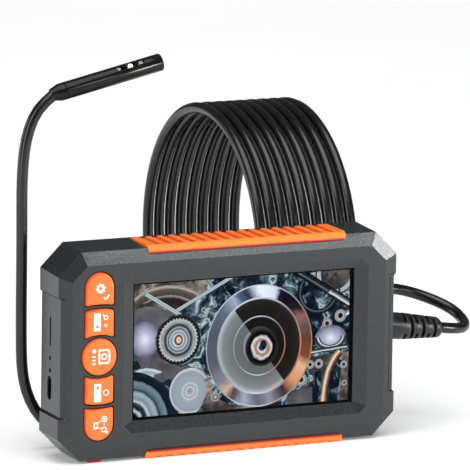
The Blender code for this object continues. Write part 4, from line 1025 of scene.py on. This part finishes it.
def add_picture():
    art = Picture()
    half_x, half_z = PICTURE[0] / 2, PICTURE[1] / 2
    art.plain(rectangle(-half_x, half_x, -half_z, half_z), "block")
    # Left: a dark drum with a pale reflection, and a cover in warm greys above it.
    art.plain([(-48, 28), (-48, 12), (-38, 16), (-28, 15), (-17, 21), (-13, 28)], "rust")
    art.ring((-33, 0), 0, 25.5, "cover", 20, 200)
    art.ring((-41, 2), 0, 17, "shade")
    art.ring((-41, 2), 15.5, 17, "rust", 60, 300)
    art.ring((-42, 4.5), 0, 7.5, "glow", squeeze=0.85)
    art.plain([(-48, -3.5), (-45, -4), (-43, -8), (-48, -9)], "deep")
    art.band(curve_line((-48, -11), (-40, -6), (-31, -14)), 4.5, "strut")
    art.plain([(-38, -10), (-24, -7), (-18, -12), (-30, -27), (-40, -20)], "shade")
    art.plain([(-38, -14), (-31, -12), (-27, -27), (-36, -27)], "deep")
    # Plate between the pulley and the large ring, with its edge rail.
    art.plain([(-28, 14), (-5, 27), (-2, 27), (-12, 6), (-18, -6), (-22, 4)], "block")
    art.band([(-12, 27), (-6, 21), (-4, 12)], 5.0, "deep")
    art.band([(-42, 22.5), (-33, 17), (-23, 10.5)], 1.7, "strut")
    art.band([(-28.5, 15), (-5, 26.8)], 1.5, "strut")
    art.bolt(-17.0, 14.5, 1.1)
    art.bolt(-15.5, 10.0, 0.8)
    art.bolt(-12.0, 16.0, 0.8)
    # Pulley.
    art.ring((-27.8, 3.2), 0, 10.4, "strut", squeeze=0.96, spread=(0.7, 1.0))
    art.ring((-27.8, 3.2), 0, 9.9, "dark_bowl", squeeze=0.96, spread=(0.5, 0.9))
    art.ring((-27.8, 3.2), 7.2, 8.3, "bolt", squeeze=0.96, spread=(0.42, 0.7), tooth=0.7)
    art.ring((-27.8, 3.2), 0, 7.3, "pulley", squeeze=0.94)
    art.ring((-27.6, 3.2), 0, 2.2, "copper", squeeze=0.8, spread=(0.1, 0.9))
    # Stacked rings at the lower left.
    art.ring((-49, -28.5), 0, 20.5, "stripes")
    # Pale cap.
    art.ring((-22.3, -17.8), 0, 9.4, "rim", squeeze=0.97)
    art.ring((-22.6, -17.8), 0, 8.9, "disc", squeeze=0.97)
    art.ring((-22.3, -17.8), 7.2, 9.0, "rust", -45, 35, squeeze=0.97)
    # Under and beside the large ring.
    art.plain([(-14, -20), (-6, -24), (8, -27), (-20, -27)], "rust")
    art.bolt(-11.5, -21.0, 1.9)
    art.ring((-11.5, -21.0), 0, 1.1, "copper")
    art.plain([(20, -27), (20, -21), (31, -20), (31, -27)], "shade")
    art.plain([(28, 24), (33, 12), (33, -4), (26, -8), (24, 14)], "deep")
    # Right: wheel, hose, tie rod, bolts, bowl, bar, studs and pipe.
    art.ring((40.5, 25.5), 0, 9.0, "rust")
    art.ring((40.5, 25.5), 6.6, 8.4, "strut")
    art.band([(40.5, 25.5), (34.5, 18.5)], 0.9, "hose")
    art.band([(40.5, 25.5), (42.5, 17.0)], 0.9, "hose")
    art.ring((33.0, 18.5), 7.2, 9.4, "hose", 150, 345)
    art.band([(22.5, 28.0), (48.5, 11.6)], 3.6, "hose")
    art.band([(38.0, 18.4), (48.5, 11.6)], 3.4, "tube")
    art.plain([(33, 2), (46, 10), (48, 2), (48, -3), (33, -4)], "deep")
    art.band([(43, 8), (48, 10)], 4.6, "tube")
    art.bolt(42.8, 8.0, 2.6)
    art.bolt(37.0, 5.2, 2.2)
    art.ring((38.6, -0.8), 0, 5.2, "glow", squeeze=1.35)
    art.ring((38.6, -0.2), 3.4, 5.2, "tube", 180, 360, squeeze=1.35)
    art.band([(29.0, -6.0), (46.0, -4.6)], 1.9, "tube")
    art.plain([(28, -8), (48, -7), (48, -27), (33, -27), (31, -16)], "rust")
    art.plain([(39, -9), (44, -10), (42, -27), (38, -27)], "deep")
    art.plain([(32, -14), (35, -14), (34, -27), (31.5, -27)], "deep")
    art.band(curve_line((43.0, -6.5), (36.5, -12.0), (36.0, -27.5)), 3.4, "copper")
    art.bolt(29.8, -11.0, 1.8)
    art.bolt(33.6, -10.9, 2.0)
    art.bolt(25.8, -16.8, 2.7)
    art.bolt(44.6, -12.0, 1.6)
    art.bolt(45.0, -19.5, 1.2)
    # Large ring: bright band, bowl in two halves of light, and a polished hub.
    middle, thin = (7.3, -1.6), 0.94
    art.ring(middle, 0, 24.7, "rim", squeeze=thin)
    art.ring(middle, 0, 24.2, "chrome", squeeze=thin)
    art.ring(middle, 18.6, 19.6, "rim", squeeze=thin)
    art.ring(middle, 0, 18.9, "dark_bowl", squeeze=thin, start=-52, end=128)
    art.ring(middle, 0, 18.9, "grey_bowl", squeeze=thin, start=128, end=308)
    hub = (8.3, -2.4)
    art.ring(middle, 11.7, 12.1, "rim", squeeze=thin)
    art.ring(hub, 0, 7.6, "dark_bowl", squeeze=thin, spread=(0.0, 0.36))
    art.ring(hub, 0, 5.2, "hub", squeeze=0.92)
    art.ring((9.0, -1.4), 0, 2.0, "deep", squeeze=0.75)
    art.done()


add_picture()


# Boot: it droops a little along its way out, and has flex slots, in turn from the front and the back.

BOOT_START = 0.0724
EXIT_Z = 0.0438
BOOT_DROOP = 0.105
# (along, radius).
BOOT_PROFILE = (
    (-0.0052, 0.0030), (-0.0052, 0.0058), (-0.0031, 0.0058), (-0.0031, 0.0043), (0.0, 0.0043),
    (0.0, 0.0052), (0.0003, 0.00545), (0.0080, 0.00545), (0.0238, 0.0042), (0.0246, 0.0038),
    (0.0252, 0.0032), (0.0252, 0.0022),
)
# Where the slots are along the boot, which way their middles face, and their half width, in degrees.
BOOT_SLOTS = (((0.0108, 0.0161, 0.0214), 180, 64), ((0.0079, 0.0133, 0.0187), 0, 154))
SLOT_WIDTH = 0.0013
SLOT_INNER = 0.0029
SLOT_OUTER = 0.0075
SLOT_STEPS = 30


def draw_boot_slots(bm):
    for centres, facing, half in BOOT_SLOTS:
        outline = arc((0, 0), SLOT_OUTER, facing - half, facing + half, SLOT_STEPS)
        outline += arc((0, 0), SLOT_INNER, facing + half, facing - half, SLOT_STEPS)
        for along in centres:
            loft(bm, [
                [(BOOT_START + x, y, EXIT_Z - BOOT_DROOP * x + z) for y, z in outline]
                for x in (along - SLOT_WIDTH / 2, along + SLOT_WIDTH / 2)
            ])


def add_boot():
    bm = bmesh.new()
    turned(bm, BOOT_PROFILE, Matrix.Translation((BOOT_START, 0, EXIT_Z)))
    for vert in bm.verts:
        vert.co.z -= BOOT_DROOP * max(0.0, vert.co.x - BOOT_START)
    boot = piece("boot", bm, boot_rubber, replaced=["strain_relief"])
    cut(boot, draw_boot_slots)
    bevel = boot.modifiers.new("bevel", "BEVEL")
    bevel.width = 0.00018
    bevel.segments = 2
    bevel.limit_method = "ANGLE"
    bevel.angle_limit = math.radians(50)
    return boot


boot = add_boot()


# Probe. Profiles are (along, radius), from where the lead's jacket meets the tail.

PROBE_TAIL = (-0.0619, 0.0220, 0.1417)
PROBE_TILT = math.radians(13.0)
PROBE_LENGTH = 0.0462
PROBE_RADIUS = 0.0035
PROBE_BORE = 0.0030
SLEEVE_PROFILE = (
    (0.0042, PROBE_BORE), (0.0042, PROBE_RADIUS - 0.0001), (0.0043, PROBE_RADIUS),
    (PROBE_LENGTH - 0.0004, PROBE_RADIUS), (PROBE_LENGTH - 0.0001, PROBE_RADIUS - 0.0002),
    (PROBE_LENGTH, PROBE_RADIUS - 0.0004), (PROBE_LENGTH, PROBE_BORE),
)
TAIL_PROFILE = (
    (-0.0019, 0.0021), (-0.0018, 0.0023), (0.0016, 0.0034), (0.0022, PROBE_RADIUS), (0.0039, PROBE_RADIUS),
    (0.0040, PROBE_RADIUS - 0.0001), (0.0040, PROBE_BORE - 0.00015), (0.0080, PROBE_BORE - 0.00015),
)
# The side window: the middle of it along the probe, its length and its width. It faces up and forward.
SIDE_FACING = math.radians(56)
SIDE_WINDOW = (0.0327, 0.0120, 0.0024)
SIDE_CUT = (0.0020, 0.0045)
PANE_DEPTH = (0.00312, 0.00334)
PANE_GAP = 0.0001
SIDE_STEPS = 10

probe_frame = Matrix.Translation(PROBE_TAIL) @ Matrix.Rotation(-PROBE_TILT, 4, "Y")
side_frame = probe_frame @ Matrix.Rotation(math.radians(90) - SIDE_FACING, 4, "X")


def draw_side_window(bm, depths=SIDE_CUT, gap=0.0):
    """A block with round ends, in the side window or a gap smaller than it, between two depths."""
    middle, long, wide = SIDE_WINDOW
    reach = long / 2 - wide / 2
    outline = arc((middle + reach, 0), wide / 2 - gap, -90, 90, SIDE_STEPS)
    outline += arc((middle - reach, 0), wide / 2 - gap, 90, 270, SIDE_STEPS)
    loft(bm, [[side_frame @ Vector((x, y, z)) for x, y in outline] for z in depths])


def add_probe():
    bm = bmesh.new()
    turned(bm, SLEEVE_PROFILE, probe_frame, body=ring_body)
    sleeve = piece("probe_body", bm, probe_black, replaced=["probe_sleeve"])
    cut(sleeve, draw_side_window)
    bm = bmesh.new()
    turned(bm, TAIL_PROFILE, probe_frame)
    end = piece("probe_end", bm, probe_black, replaced=["probe_tail"])
    bm = bmesh.new()
    draw_side_window(bm, PANE_DEPTH, PANE_GAP)
    pane = piece("side_window", bm, glass)
    return [sleeve, end, pane]


probe_pieces = add_probe()
lead.data.materials.append(jacket)
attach(lead, "housing")
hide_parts("cable_lead", "cable_coil", "probe_lead")


# Floor, lights and background.


def add_floor():
    bm = bmesh.new()
    bmesh.ops.create_circle(bm, cap_ends=True, segments=96, radius=12.0)
    floor = add_object("floor", mesh_from("floor", bm))
    white = surface(
        "floor", grey(0.90), grey(0.92), (0.8, 0.9), 0.3,
        Emission_Color=(1.0, 1.0, 1.0, 1.0), Emission_Strength=0.14,
    )
    floor.data.materials.append(white)


LIT_POINT = Vector((0.01, 0.0, 0.05))


def place_light(light, azimuth, elevation, distance):
    """Puts a light round the object, facing it. Azimuth 0 is in front of the screen and 90 to its right."""
    a, e = math.radians(azimuth), math.radians(elevation)
    towards = Vector((math.sin(a) * math.cos(e), -math.cos(a) * math.cos(e), math.sin(e)))
    light.location = LIT_POINT + towards * distance
    light.rotation_euler = (-towards).to_track_quat("-Z", "Y").to_euler()


def soft_box(name, brightness, size, azimuth, elevation, distance):
    """A rectangular lamp of a given brightness, as seen from the object."""
    data = bpy.data.lights.new(name, "AREA")
    data.shape = "RECTANGLE"
    data.size, data.size_y = size
    data.energy = brightness * math.pi * size[0] * size[1]
    place_light(add_object(name, data), azimuth, elevation, distance)


def sky_light(strength, spread, azimuth, elevation):
    data = bpy.data.lights.new("sky_light", "SUN")
    data.energy = strength
    data.angle = math.radians(spread)
    place_light(add_object("sky_light", data), azimuth, elevation, 2.0)


def add_world():
    """Pale where the camera sees it, and dim as a light, so that the lamps shape the object."""
    world = bpy.data.worlds.new("studio")
    bpy.context.scene.world = world
    world.use_nodes = True
    tree = world.node_tree
    dim = tree.nodes["Background"]
    dim.inputs["Color"].default_value = (0.97, 0.98, 1.0, 1.0)
    dim.inputs["Strength"].default_value = 0.10
    pale = tree.nodes.new("ShaderNodeBackground")
    pale.inputs["Color"].default_value = (1.0, 1.0, 1.0, 1.0)
    path = tree.nodes.new("ShaderNodeLightPath")
    mix = tree.nodes.new("ShaderNodeMixShader")
    tree.links.new(path.outputs["Is Camera Ray"], mix.inputs["Fac"])
    tree.links.new(dim.outputs["Background"], mix.inputs[1])
    tree.links.new(pale.outputs["Background"], mix.inputs[2])
    tree.links.new(mix.outputs["Shader"], tree.nodes["World Output"].inputs["Surface"])


add_floor()
add_world()
# Each has its brightness, size, azimuth, elevation and distance.
soft_box("right_light", 57.0, (0.20, 0.20), 47.5, 7.5, 1.3)
soft_box("front_light", 15.0, (0.34, 0.14), 26, 19, 1.3)
soft_box("left_light", 5.5, (0.30, 1.0), -66, 20, 1.2)
soft_box("rear_left_light", 2.5, (0.6, 0.6), -125, 12, 1.3)
sky_light(strength=2.6, spread=60, azimuth=-20, elevation=74)
bpy.context.scene.view_settings.view_transform = "Standard"
